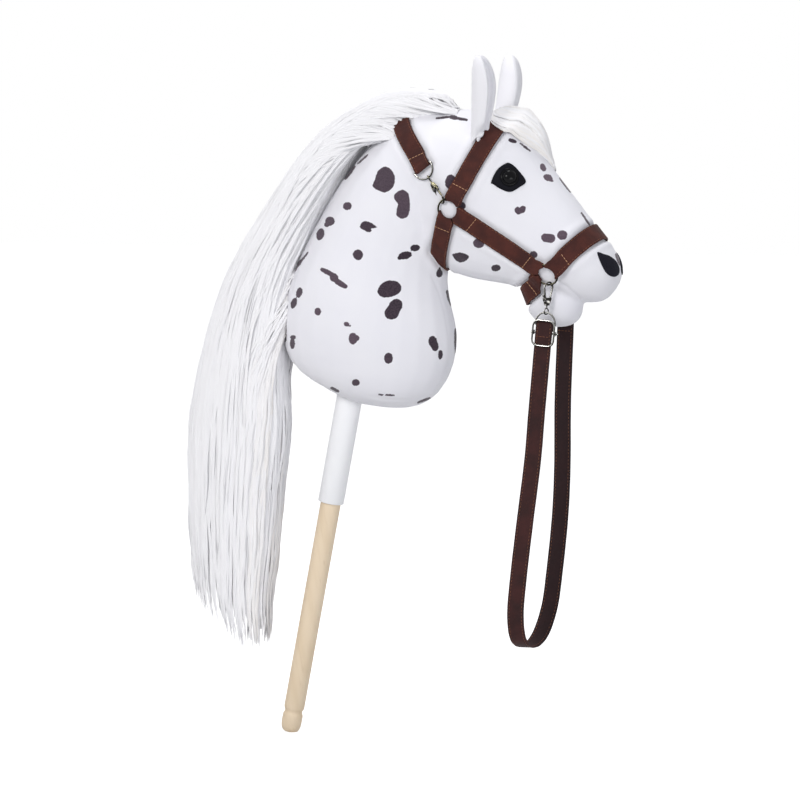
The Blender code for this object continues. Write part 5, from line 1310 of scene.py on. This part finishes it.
# The line where the yarn leaves the plush, in the photograph's pixels.
MANE_EDGE = [(468, 112), (452, 112), (436, 112), (420, 114), (404, 121), (394, 134), (378, 140),
             (362, 144), (346, 164), (334, 177), (320, 203), (312, 220), (306, 239), (299, 253),
             (292, 276), (288, 290), (286, 312), (284, 336)]
EDGE_MARGIN = -1.0
EDGE_TOP = 124.0
EDGE_SINK = 0.0006
EDGE_LIFT = 0.0024
HELD_ROWS = 70
HELD_TURNS = 73
HELD_DEPTH = 0.0010
HELD_SIZES = np.arange(1.0, 0.25, -0.05)
HELD_PASSES = 6
HELD_SLACK = 0.02


class ManeFlow:
    """Places in the mane: s from its top to its foot, a out from the neck, b across."""

    def __init__(self):
        rows = curve_through(MANE_SECTIONS, 12)
        steps = np.linalg.norm(np.diff(rows[:, :2], axis=0), axis=1)
        length = np.concatenate([[0.0], np.cumsum(steps)])
        self.share = length / length[-1]
        self.rows = rows

    def at(self, s, a, b):
        """Points for arrays of s, a and b."""
        row = [np.interp(s, self.share, self.rows[:, k]) for k in range(6)]
        turn = np.radians(row[2])
        reach = np.where(a > 0.0, row[3], row[4])
        return np.stack([row[0] + np.sin(turn) * reach * a, row[5] * self.spread(s) * b,
                         row[1] - np.cos(turn) * reach * a], -1)

    def spread(self, s):
        """How much wider the fall is than its row, where it leaves the neck."""
        return 1.0 + MANE_SPREAD * np.exp(-((s - SPREAD_AT) / SPREAD_WIDTH) ** 2)

    def facing(self, points):
        """Directions out of the mane at world points, turned toward its broad sides."""
        flat = points.reshape(-1, 3)
        gap = flat[:, None, [0, 2]] - self.rows[None, :, :2]
        near = np.argmin((gap ** 2).sum(2), axis=1)
        gap = flat[:, [0, 2]] - self.rows[near, :2]
        out = unit(np.stack([gap[:, 0] * MANE_FLAT, flat[:, 1], gap[:, 1] * MANE_FLAT], -1))
        out[:, 2] = np.maximum(out[:, 2], MANE_LEAST_UP)
        return out.reshape(points.shape)

    def hold_back(self, skin):
        """Finds how far the yarn has to draw in to stay behind the mane's edge."""
        line = curve_through(MANE_EDGE, 6)
        line = line[np.argsort(line[:, 1])]
        turns = np.linspace(-math.pi, math.pi, HELD_TURNS)
        self.table = np.ones((HELD_ROWS, HELD_TURNS))
        for i in range(HELD_ROWS):
            s = np.full(HELD_TURNS, i / (HELD_ROWS - 1.0))
            done = np.zeros(HELD_TURNS, bool)
            for size in HELD_SIZES:
                points = self.at(s, size * np.cos(turns), size * np.sin(turns))
                px, py = pixels_of(mirrored_right(points))
                edge = np.interp(py, line[:, 1], line[:, 0]) - EDGE_MARGIN
                free = (px < edge) | (py < EDGE_TOP) | (py > line[-1, 1])
                for k in np.nonzero(~done)[0]:
                    if free[k] or height_over(skin, points[k])[0] < -HELD_DEPTH:
                        self.table[i, k] = size
                        done[k] = True
        sharp = self.table.copy()
        for _ in range(HELD_PASSES):
            wide = np.pad(self.table, 1, mode="edge")
            wide[:, 0] = wide[:, -3]
            wide[:, -1] = wide[:, 2]
            self.table = (wide[:-2, 1:-1] + wide[2:, 1:-1] + wide[1:-1, :-2] + wide[1:-1, 2:]
                          + 2.0 * wide[1:-1, 1:-1]) / 6.0
            self.table = np.minimum(self.table, sharp + HELD_SLACK)

    def held(self, s, a, b):
        """The table's value at arrays of s, a and b."""
        row = np.clip(s, 0.0, 0.9999) * (HELD_ROWS - 1)
        column = (np.arctan2(b, a) + math.pi) / math.tau * (HELD_TURNS - 1)
        i = np.minimum(row.astype(int), HELD_ROWS - 2)
        k = np.minimum(column.astype(int), HELD_TURNS - 2)
        u, v = row - i, column - k
        return ((self.table[i, k] * (1 - u) + self.table[i + 1, k] * u) * (1 - v)
                + (self.table[i, k + 1] * (1 - u) + self.table[i + 1, k + 1] * u) * v)

    def place_of(self, point):
        """The s, a and b of a point."""
        turn = np.radians(self.rows[:, 2])
        gap = np.array([point.x, point.z]) - self.rows[:, :2]
        along = gap[:, 0] * np.cos(turn) + gap[:, 1] * np.sin(turn)
        out = gap[:, 0] * np.sin(turn) - gap[:, 1] * np.cos(turn)
        k = int(np.argmin(np.abs(along) + 0.25 * np.abs(out)))
        reach = self.rows[k, 3] if out[k] > 0.0 else self.rows[k, 4]
        width = self.rows[k, 5] * self.spread(self.share[k])
        return self.share[k], out[k] / reach, point.y / width


def height_over(skin, point):
    """A point's height over the skin, and the skin's nearest point and normal."""
    near, normal, _, _ = skin.find_nearest(Vector(point))
    return (Vector(point) - near).dot(normal), near, normal


LEAVING_POWER = 1.8
WAVE_SIZE = (0.008, 0.030)
# How quickly strands wander in a and in b, and how much of the phase b has.
STRAND_WAVES = ((16.0, 30.0), (14.0, 28.0), 1.7)
EDGE_WAVES = ((14.0, 28.0), (12.0, 26.0), -1.0)
TIP_SLOPE = 0.085
FULL_SHARE = 0.55
FULL_LOSS = (0.0, 0.07)
RAGGED_LOSS = (0.07, 0.26)


def outside(a, b, least):
    """Moves places that lie inside the mass of yarn out onto it."""
    grow = np.maximum(1.0, least / np.maximum(np.hypot(a, b), 0.05))
    return a * grow, b * grow


def leaving(x):
    """0 to 1, quickest at the start: how a strand leaves its root for its place in the fall."""
    return 1.0 - (1.0 - np.clip(x, 0.0, 1.0)) ** LEAVING_POWER


def waved(rng, t, settle, rate_a, rate_b, turn_b):
    """How a strand wanders in a and b along its fall."""
    phase = rng.uniform(0.0, math.tau)
    wave = rng.uniform(*WAVE_SIZE) * settle
    return (wave * np.sin(t * rng.uniform(*rate_a) + phase),
            wave * np.sin(t * rng.uniform(*rate_b) + phase * turn_b))


def mane_tip(a, rng):
    """Where a strand ends: longer toward the neck's side, and ragged."""
    loss = rng.uniform(*(FULL_LOSS if rng.random() < FULL_SHARE else RAGGED_LOSS))
    return min(1.0, 1.0 - TIP_SLOPE * max(a, 0.0) - loss)


def strand_group(flow, rng, count, layer, root_span):
    """Strands that leave the neck's crest in turn and fall in layers."""
    s = np.linspace(0.0, 1.0, MANE_STEPS)
    paths = np.zeros((count, MANE_STEPS, 3))
    for k in range(count):
        angle = rng.uniform(-math.pi, math.pi)
        depth = layer * rng.uniform(0.94, 1.0)
        a_end = depth * math.cos(angle)
        b_end = depth * math.sin(angle)
        order = max(1.0 - a_end, 0.0) / 2.0
        root = root_span * (order ** 1.1) * rng.uniform(0.20, 1.15) + rng.uniform(0.0, 0.06)
        t = root + (mane_tip(a_end, rng) - root) * s
        settle = leaving((t - root) / (0.07 + 0.24 * order))
        b_root = np.clip(b_end * rng.uniform(0.35, 0.8), -0.8, 0.8)
        a_root = -0.92 * math.sqrt(max(1.0 - b_root ** 2, 0.0))
        wave_a, wave_b = waved(rng, t, settle, *STRAND_WAVES)
        a, b = outside(a_root + (a_end - a_root) * settle + wave_a,
                       b_root + (b_end - b_root) * settle + wave_b, depth * 0.97)
        held = flow.held(t, a, b)
        paths[k] = flow.at(t, a * held, b * held)
    return paths


def crest_group(flow, rng, count):
    """Tufts that stand along the crest behind the ears and bend back over the mane."""
    s = np.linspace(0.0, 1.0, MANE_STEPS)
    paths = np.zeros((count, MANE_STEPS, 3))
    for k in range(count):
        root = rng.uniform(0.005, 0.17)
        angle = rng.uniform(-1.25, 1.25)
        a_end = math.cos(angle) * rng.uniform(0.92, 1.12)
        b_end = math.sin(angle) * rng.uniform(0.92, 1.05)
        t = root + rng.uniform(0.05, 0.24) * s
        settle = leaving((t - root) / rng.uniform(0.020, 0.045))
        b_root = b_end * rng.uniform(0.5, 0.95)
        paths[k] = flow.at(t, -0.95 + (a_end + 0.95) * settle,
                           b_root + (b_end - b_root) * settle)
    return paths


def edge_group(flow, rng, count, side, skin):
    """Strands sewn along the mane's edge, that fan out from it over the inner ones."""
    line = curve_through(MANE_EDGE, 6)
    run = np.concatenate([[0.0], np.cumsum(np.hypot(*np.diff(line, axis=0).T))])
    s = np.linspace(0.0, 1.0, MANE_STEPS)
    paths = []
    while len(paths) < count:
        order = rng.random()
        px, py = (float(np.interp(order * run[-1], run, line[:, c])) for c in range(2))
        inward = 7.0 * math.exp(-((py - 180.0) / 50.0) ** 2)
        hit = skin.ray_cast(EYE_POINT, ray_through(px + inward + rng.uniform(-2.5, 1.5),
                                                   py + rng.uniform(-2.0, 2.0)))[0]
        if hit is None:
            continue
        t_root, a_root, b_root = flow.place_of(Vector((hit.x, hit.y * -side, hit.z)))
        a_end = 0.98 - 1.75 * max(0.0, min(1.0, order + rng.uniform(-0.14, 0.14))) ** 1.25
        b_end = side * math.sqrt(max(1.0 - a_end ** 2, 0.0)) * rng.uniform(0.96, 1.07)
        t = t_root + (mane_tip(a_end, rng) - t_root) * s
        settle = leaving((t - t_root) / rng.uniform(0.10, 0.22))
        wave_a, wave_b = waved(rng, t, settle, *EDGE_WAVES)
        a, b = outside(a_root + (a_end - a_root) * settle + wave_a,
                       b_root + (b_end - b_root) * settle + wave_b, 0.96 * eased(settle / 0.2))
        held = 1.0 + (flow.held(t, a, b) - 1.0) * settle
        path = flow.at(t, a * held, b * held)
        for i in range(MANE_STEPS // 2):
            height, near, normal = height_over(skin, path[i])
            need = EDGE_LIFT * min(1.0, i / (MANE_STEPS * 0.22)) ** 0.7 - EDGE_SINK
            if height < need:
                path[i] = near + normal * need
        paths.append(path)
    return np.array(paths)


def tapered(count, steps, rng, low, high):
    """Radii of strands: thin at the root, full in the fall and frayed at the tip."""
    s = np.linspace(0.0, 1.0, steps)
    shape = 0.55 + 0.45 * eased(s / 0.25)
    shape = shape * (1.0 - 0.85 * np.clip((s - 0.86) / 0.14, 0.0, 1.0) ** 1.5)
    size = np.array([rng.uniform(low, high) for _ in range(count)])
    return size[:, None] * shape[None, :]


def crimped(paths, rng, size, waves):
    """Adds a small crimp along strands."""
    count, steps = paths.shape[:2]
    s = np.linspace(0.0, 1.0, steps)
    for axis in range(3):
        turn, rate, amount = (np.array([rng.uniform(*span) for _ in range(count)])[:, None]
                              for span in ((0.0, math.tau), waves, (0.4, 1.0)))
        paths[:, :, axis] += amount * size * np.sin(rate * s + turn) * eased(s / 0.15)
    return paths


# Each group's strands, its depth in the mass and how far down the crest its roots go.
MANE_GROUPS = [(290, 1.00, 0.46), (120, 0.96, 0.48), (30, 0.84, 0.50)]
EDGE_COUNTS = [(250, -1), (130, 1)]
CREST_COUNT = 150
FINE_COUNT = 60
MANE_RADII = (0.0012, 0.0022)
FINE_RADII = (0.0004, 0.0007)
# A crimp's size and the span of its rates.
MANE_CRIMP = (0.0008, (22.0, 50.0))
FINE_CRIMP = (0.0011, (12.0, 34.0))
# The yarn turns beige below a height and forward of a place, at a step of each strand.
BEIGE_STEP = -20
BEIGE_TOP, BEIGE_FADE = 0.34, 0.15
BEIGE_FRONT, BEIGE_SPAN = 0.045, 0.03


def mane(material, skin):
    rng = random.Random(7)
    flow = ManeFlow()
    flow.hold_back(skin)
    paths = [strand_group(flow, rng, *group) for group in MANE_GROUPS]
    paths += [edge_group(flow, rng, count, side, skin) for count, side in EDGE_COUNTS]
    paths.append(crest_group(flow, rng, CREST_COUNT))
    paths = crimped(np.concatenate(paths), rng, *MANE_CRIMP)
    radii = tapered(len(paths), MANE_STEPS, rng, *MANE_RADII)
    fine = np.concatenate([strand_group(flow, rng, FINE_COUNT, 1.03, 0.46),
                           edge_group(flow, rng, FINE_COUNT, -1, skin)])
    fine = crimped(fine, rng, *FINE_CRIMP)
    paths = np.concatenate([paths, fine])
    radii = np.concatenate([radii, tapered(len(fine), MANE_STEPS, rng, *FINE_RADII)])
    tones = np.array([rng.random() for _ in paths])
    place = paths[:, BEIGE_STEP]
    low = np.clip((BEIGE_TOP - place[:, 2]) / BEIGE_FADE, 0.0, 1.0)
    near_neck = np.clip((place[:, 0] + BEIGE_FRONT) / BEIGE_SPAN, 0.0, 1.0)
    beige = low * near_neck * np.array([rng.uniform(0.2, 1.0) for _ in paths])
    mesh = wires("yarn_mane", paths, radii, MANE_SIDES, tone=tones, beige=beige)
    faced(mesh, paths, MANE_SIDES, flow.facing(paths), MANE_SOFT)
    link("yarn_mane", mesh, material, "horse", ["mane"])
    mane_core(flow, material)


CORE_ROWS = np.linspace(0.012, 0.84, 58)
CORE_COLUMNS = 72
CORE_SIZE = 0.91
CORE_TONE = 0.6
CORE_BEIGE = 0.1
CORE_FIBRE = (18.0, 18.0, 8.0)


def mane_core(flow, material):
    """The mass of inner yarn that closes the gaps between the strands."""
    turn = np.arange(CORE_COLUMNS) * math.tau / CORE_COLUMNS
    points = []
    for s in CORE_ROWS:
        ridge = 1.0 + 0.02 * np.cos(17.0 * turn + 6.0 * s) + 0.02 * np.cos(29.0 * turn - 9.0 * s)
        size = CORE_SIZE * ridge * (1.0 - 0.60 * max(0.0, s - 0.70) / 0.14)
        level = np.full(CORE_COLUMNS, s)
        size = size * eased(s / 0.07) * flow.held(level, np.cos(turn), np.sin(turn))
        points += list(flow.at(level, size * np.cos(turn), size * np.sin(turn)))
    mesh = outward(mesh_of("yarn_mane_inner", points,
                           grid_faces(len(CORE_ROWS), CORE_COLUMNS, True, 2)))
    set_values(mesh, "tone", np.full(len(points), CORE_TONE))
    set_values(mesh, "beige", np.full(len(points), CORE_BEIGE))
    fibre = np.zeros((len(CORE_ROWS), CORE_COLUMNS, 3))
    fibre[..., 0] = np.cos(turn)
    fibre[..., 1] = np.sin(turn)
    fibre[..., 2] = CORE_ROWS[:, None]
    set_values(mesh, "fibre", fibre * CORE_FIBRE, "FLOAT_VECTOR", "vector")
    set_normals(mesh, flow.facing(coordinates(mesh)) * MANE_SOFT
                + normals(mesh) * (1.0 - MANE_SOFT))
    link("yarn_mane_inner", mesh, material, "horse")


# Forelock: station along the head, right and left edges in degrees, middle thickness

FORELOCK_STATIONS = [
    (0.036, -16.0, 10.0, 0.0045),
    (0.044, -23.0, 16.0, 0.0130),
    (0.056, -25.0, 21.0, 0.0180),
    (0.068, -22.0, 25.0, 0.0195),
    (0.080, -17.0, 28.0, 0.0190),
    (0.090, -12.0, 29.0, 0.0165),
    (0.099, -6.0, 28.0, 0.0120),
    (0.107, 0.0, 26.0, 0.0075),
    (0.114, 6.0, 23.0, 0.0040),
    (0.120, 10.0, 19.0, 0.0020),
]
FORELOCK_SOFT = 0.86
FORELOCK_COUNT = 260
FORELOCK_STEPS = 36
FORELOCK_SIDES = 6
FORELOCK_RADII = (0.0009, 0.0016)
FORELOCK_CRIMP = (0.0005, (8.0, 20.0))
FORELOCK_RISE = 0.0012


def forelock(material, skin):
    rng = random.Random(11)
    table = curve_through(FORELOCK_STATIONS, 6)
    s = np.linspace(0.0, 1.0, FORELOCK_STEPS)
    paths = np.zeros((FORELOCK_COUNT, FORELOCK_STEPS, 3))
    facing = np.zeros(paths.shape)
    for k in range(FORELOCK_COUNT):
        side = rng.uniform(-1.0, 1.0)
        level = rng.uniform(0.10, 0.96) ** 0.6
        start = rng.uniform(0.0, 0.08)
        end = rng.uniform(0.80, 1.0)
        phase = rng.uniform(0.0, math.tau)
        for i in range(FORELOCK_STEPS):
            t = start + (end - start) * s[i]
            along, near, far, thick = (np.interp(t * (len(table) - 1), range(len(table)),
                                                 table[:, c]) for c in range(4))
            share = side * (0.85 + 0.15 * s[i]) + 0.05 * math.sin(7.0 * t + phase)
            share = max(-0.98, min(0.98, share))
            turn = math.radians(near + (far - near) * (share + 1.0) / 2.0)
            out = HEAD_UP * math.cos(turn) + ACROSS * math.sin(turn)
            centre = HEAD_START + HEAD_WAY * float(along)
            hit = skin.ray_cast(centre + out * 0.3, -out)[0]
            rise = FORELOCK_RISE + (thick - FORELOCK_RISE) * (1.0 - share ** 2) ** 0.6
            rise = rise * level
            paths[k, i] = hit + out * float(rise)
            facing[k, i] = (out + ACROSS * (0.75 * share) + UP * 0.2).normalized()
    paths = crimped(paths, rng, *FORELOCK_CRIMP)
    radii = tapered(FORELOCK_COUNT, FORELOCK_STEPS, rng, *FORELOCK_RADII)
    tones = np.array([rng.random() * 0.5 for _ in paths])
    beige = np.array([rng.random() * 0.4 for _ in paths])
    mesh = wires("yarn_forelock", paths, radii, FORELOCK_SIDES, tone=tones, beige=beige)
    faced(mesh, paths, FORELOCK_SIDES, facing, FORELOCK_SOFT)
    link("yarn_forelock", mesh, material, "horse", ["forelock"])


# Steel fittings

RING_STEPS = 97
RING_SIDES = 16
SNAP_NODES = ["throat_claw", "throat_swivel_eye", "throat_gate_pin", "throat_gate"]
STEEL_NODES = ["crown_dee", "slide_frame", "slide_bar"] + [
    name + side for side in ("_right", "_left")
    for name in ("claw", "gate_pin", "gate", "swivel_eye", "rein_dee")]
CAP_NODES = ["tube_cap", "eye_washer_right", "eye_washer_left"]
STEEL_ROUNDING = rounding(0.00030, 3)
STRAP_ROUNDING = rounding(0.0008, 8)


def rings(material):
    for name, (centre, normal) in RINGS.items():
        first = normal.cross(UP).normalized()
        second = normal.cross(first)
        path = []
        for k in range(RING_STEPS):
            turn = math.tau * k / (RING_STEPS - 1)
            path.append(centre + (first * math.cos(turn) + second * math.sin(turn)) * RING_RADIUS)
        for side, way in (("_right", 1.0), ("_left", -1.0)):
            line = np.array(path) * (1.0, way, 1.0)
            mesh = wires("round_" + name, line[None], np.full((1, RING_STEPS), RING_WIRE),
                         RING_SIDES)
            link("round_" + name + side, outward(mesh), material, "horse", [name + side])


def repaint(names, material, setups=()):
    """Gives CAD nodes their finish, and modifiers that round their edges."""
    for name in names:
        node = NODES[name]
        node.data.materials.clear()
        node.data.materials.append(material)
        modify(node, setups)


# Halter stitching

CHEEK_RING = Vector((0.194947, 0.0, 0.572582))
MUZZLE_RING = Vector((0.298252, 0.0, 0.505434))
STRAP_HALF = 0.00975
STITCH_INSET = 0.0017
OVER_STRAPS = {
    "browband": (CHEEK_RING, Vector((0.2412, 0.0, 0.6625)), 0.045),
    "crown_strap": (CHEEK_RING, Vector((0.1265, 0.0, 0.6710)), 0.050),
    "throat_strap": (CHEEK_RING, Vector((0.1762, 0.0, 0.5233)), 0.030),
    "noseband": (MUZZLE_RING, Vector((0.3468, 0.0, 0.5520)), 0.020),
    "chin_strap": (MUZZLE_RING, Vector((0.2695, 0.0, 0.4834)), 0.012),
}
CROSS_LINES = [
    ("browband", (452.5, 183.3), (471.2, 193.0)),
    ("crown_strap", (408.5, 159.8), (427.0, 151.2)),
    ("cheek_strap_right", (465.5, 231.8), (476.2, 219.0)),
    ("cheek_strap_right", (521.2, 268.8), (532.8, 254.2)),
    ("throat_strap", (434.2, 226.2), (453.0, 234.0)),
    ("noseband", (561.2, 254.2), (572.4, 269.0)),
    ("chin_strap", (526.5, 281.5), (537.5, 295.5)),
]


LEAST_FACING = 0.35
RAY_START = 0.2
OVER_STEPS = 240
OVER_HALF = 0.05
SIDE_STEPS = 160
CROSS_STEPS = 24
LONGEST_GAP = 0.004
FEWEST_HITS = 4


def hits(tree, rays, least=LEAST_FACING):
    """Where rays meet a strap that faces them by at least this, as (point, normal)."""
    found = [(tree.ray_cast(start, way), way) for start, way in rays]
    return [(hit[0], hit[1]) for hit, way in found
            if hit[0] is not None and abs(hit[1].dot(way)) > least]


def over_rays(ring, top, core_reach, offset):
    """Rays onto a strap that goes over the head, along a line at an offset from its middle."""
    way = (top - ring).normalized()
    core = ring + way * core_reach + Vector((way.z, 0.0, -way.x)) * offset
    first = math.atan2(-core_reach, OVER_HALF)
    rays = []
    for k in range(OVER_STEPS + 1):
        turn = first + (math.pi - 2.0 * first) * k / OVER_STEPS
        out = -ACROSS * math.cos(turn) + way * math.sin(turn)
        rays.append((core + out * RAY_START, -out))
    return rays


def side_rays(offset):
    """Rays onto the right cheek strap."""
    way = MUZZLE_RING - CHEEK_RING
    flat = way.normalized()
    start = CHEEK_RING + Vector((flat.z, 0.0, -flat.x)) * offset - ACROSS * RAY_START
    return [(start + way * (k / SIDE_STEPS), ACROSS) for k in range(SIDE_STEPS + 1)]


def cross_rays(first, last):
    """Rays of the camera through pixels from first to last."""
    return [(EYE_POINT, ray_through(*(a + (b - a) * k / CROSS_STEPS
                                      for a, b in zip(first, last))))
            for k in range(CROSS_STEPS + 1)]


def unbroken(line):
    """Splits a line of hits where it jumps."""
    pieces = [[line[0]]] if line else []
    for before, after in zip(line[:-1], line[1:]):
        if (after[0] - before[0]).length > LONGEST_GAP:
            pieces.append([])
        pieces[-1].append(after)
    return [piece for piece in pieces if len(piece) >= FEWEST_HITS]


def sewn(line, both_sides, *sizes):
    """Stitches along a line of hits, and their mirror images if both_sides."""
    result = []
    for piece in unbroken(line):
        row = stitches_on(piece, *sizes)
        result += row
        if both_sides:
            result += [tuple(place * FLIP for place in stitch) for stitch in row]
    return result


def halter_stitches(edge_thread, cross_thread):
    edges, crosses = [], []
    trees = {name: tree_of(NODES[name].data) for name in STRAPS}
    for side in (-1, 1):
        offset = side * (STRAP_HALF - STITCH_INSET)
        for name, (ring, top, core) in OVER_STRAPS.items():
            edges += sewn(hits(trees[name], over_rays(ring, top, core, offset)), False)
        edges += sewn(hits(trees["cheek_strap_right"], side_rays(offset)), True)
    stitch_piece("halter_edge_stitches", edges, edge_thread, "horse", EDGE_THREAD)
    for name, first, last in CROSS_LINES:
        crosses += sewn(hits(trees[name], cross_rays(first, last), 0.0), name != "crown_strap",
                        CROSS_STITCH, CROSS_PITCH)
    stitch_piece("halter_cross_stitches", crosses, cross_thread, "horse", CROSS_THREAD)


# Stick and tube

STICK_RADIUS = 0.0110
STICK_LENGTH = 0.530
TUBE_BORE = 0.0114
TUBE_OUTER = 0.0140
TUBE_FOOT = 0.257
TUBE_TOP = 0.5343


def stick(material):
    profile = [(0.0, STICK_LENGTH), (STICK_RADIUS - 0.0015, STICK_LENGTH),
               (STICK_RADIUS, STICK_LENGTH - 0.0015), (STICK_RADIUS, 0.0275),
               (0.0107, 0.0262), (0.0098, 0.0247), (0.0096, 0.0236), (0.0096, 0.0222),
               (0.0099, 0.0212), (0.0106, 0.0198), (0.0109, 0.0180), (0.0110, 0.0140),
               (0.0109, 0.0095), (0.0105, 0.0062), (0.0097, 0.0036), (0.0084, 0.0014),
               (0.0070, 0.0004), (0.0056, 0.0), (0.0, 0.0)]
    link("turned_stick", lathe("turned_stick", profile, STICK_MATRIX), material, "stick",
         ["stick"])


def tube(material):
    profile = [(TUBE_OUTER, TUBE_TOP), (TUBE_OUTER, TUBE_FOOT + 0.0008),
               (TUBE_OUTER - 0.0003, TUBE_FOOT + 0.0002), (TUBE_OUTER - 0.0009, TUBE_FOOT),
               (TUBE_BORE + 0.0004, TUBE_FOOT), (TUBE_BORE, TUBE_FOOT + 0.0004),
               (TUBE_BORE, TUBE_TOP), (TUBE_OUTER, TUBE_TOP)]
    link("round_tube", lathe("round_tube", profile, STICK_MATRIX), material, "horse",
         ["socket_tube"])


# Studio

FLOOR_HALF = 9.0
FLOOR_HEIGHT = -0.0002
FLOOR_COLOUR = (0.60, 0.60, 0.60)
FLOOR_GLOW = 0.76
WORLD_STRENGTH = 0.46
WORLD_COLOUR = (0.93, 0.95, 1.0, 1.0)
WHITE = (1.0, 1.0, 1.0, 1.0)
LAMPS_AIM = Vector((0.12, 0.0, 0.40))
LAMPS = [
    ("left", (-2.8, -0.9, 1.7), 1.8, 5.0, (1.0, 1.0, 1.0)),
    ("key", (-0.57, -2.59, 1.96), 0.9, 32.0, (1.0, 0.99, 0.97)),
    ("fill", (2.3, -2.5, 0.25), 2.0, 37.0, (0.95, 0.97, 1.0)),
    ("top", (-0.3, 0.3, 3.2), 1.6, 34.0, (1.0, 1.0, 1.0)),
]


def seen_rays(tree):
    """1 for camera, glossy and transmission rays, 0 for the light on the object."""
    path = add_node(tree, "ShaderNodeLightPath").outputs
    seen = path["Is Camera Ray"]
    for ray in ("Is Glossy Ray", "Is Transmission Ray"):
        seen = add_node(tree, "ShaderNodeMath", {"operation": "MAXIMUM"}, i0=seen,
                        i1=path[ray]).outputs[0]
    return seen


def floor():
    corners = [(x * FLOOR_HALF, y * FLOOR_HALF, FLOOR_HEIGHT)
               for x, y in ((-1, -1), (1, -1), (1, 1), (-1, 1))]
    mesh = mesh_of("floor", corners, [(0, 1, 2, 3)])
    item = bpy.data.objects.new("floor", mesh)
    bpy.context.scene.collection.objects.link(item)
    paint = Paint("floor", FLOOR_COLOUR, 0.9, Emission_Color=WHITE)
    paint.tree.links.new(paint.math("MULTIPLY", seen_rays(paint.tree), FLOOR_GLOW),
                         paint.shader.inputs["Emission Strength"])
    mesh.materials.append(paint.material)


def world():
    studio = bpy.data.worlds.new("studio")
    bpy.context.scene.world = studio
    studio.use_nodes = True
    tree = studio.node_tree
    tree.nodes.clear()
    light = add_node(tree, "ShaderNodeBackground", Color=WORLD_COLOUR, Strength=WORLD_STRENGTH)
    white = add_node(tree, "ShaderNodeBackground", Color=WHITE, Strength=1.0)
    mix = add_node(tree, "ShaderNodeMixShader", i0=seen_rays(tree), i1=light.outputs[0],
                   i2=white.outputs[0])
    add_node(tree, "ShaderNodeOutputWorld", Surface=mix.outputs[0])


def lamps():
    for name, place, size, energy, colour in LAMPS:
        data = bpy.data.lights.new(name, "AREA")
        data.shape = "DISK"
        data.size = size
        data.energy = energy
        data.color = colour
        item = bpy.data.objects.new(name, data)
        bpy.context.scene.collection.objects.link(item)
        item.location = place
        item.rotation_euler = (LAMPS_AIM - Vector(place)).to_track_quat("-Z", "Y").to_euler()


def main():
    bpy.context.scene.view_settings.view_transform = "Standard"
    make_camera()
    thread = thread_paint("edge_thread", THREAD)
    # Snaps and rings: an olive-tinted nickel whose painted dark reflection covers more of its
    # surface.
    darker_steel = steel_paint("darker_nickel", STEEL_OLIVE, 0.0, 0.70)
    yarn = yarn_paint()
    rein_strap(leather_paint("rein_web", REIN, REIN_DARK, HALTER), thread)
    skin = plush_skin(plush_paint())
    ear_material = ear_paint()
    for side in ("right", "left"):
        ear(side, ear_material, skin)
    felt_patches(skin, felt_paint("eye_felt", 0.5, EYE_FELT),
                 felt_paint("nose_felt", 0.8, NOSE_FELT))
    eyes(gloss_paint())
    mane(yarn, skin)
    forelock(yarn, skin)
    rings(darker_steel)
    repaint(SNAP_NODES, darker_steel, STEEL_ROUNDING)
    repaint(STEEL_NODES, steel_paint("nickel", STEEL, -0.15, 0.75), STEEL_ROUNDING)
    repaint(STRAPS, leather_paint("halter_web", HALTER, HALTER_DARK, HALTER_WORN),
            STRAP_ROUNDING)
    halter_stitches(thread, thread_paint("cross_thread", THREAD_BRIGHT))
    stick(pine_paint())
    plastic = tube_paint()
    tube(plastic)
    repaint(CAP_NODES, plastic)
    floor()
    world()
    lamps()


main()
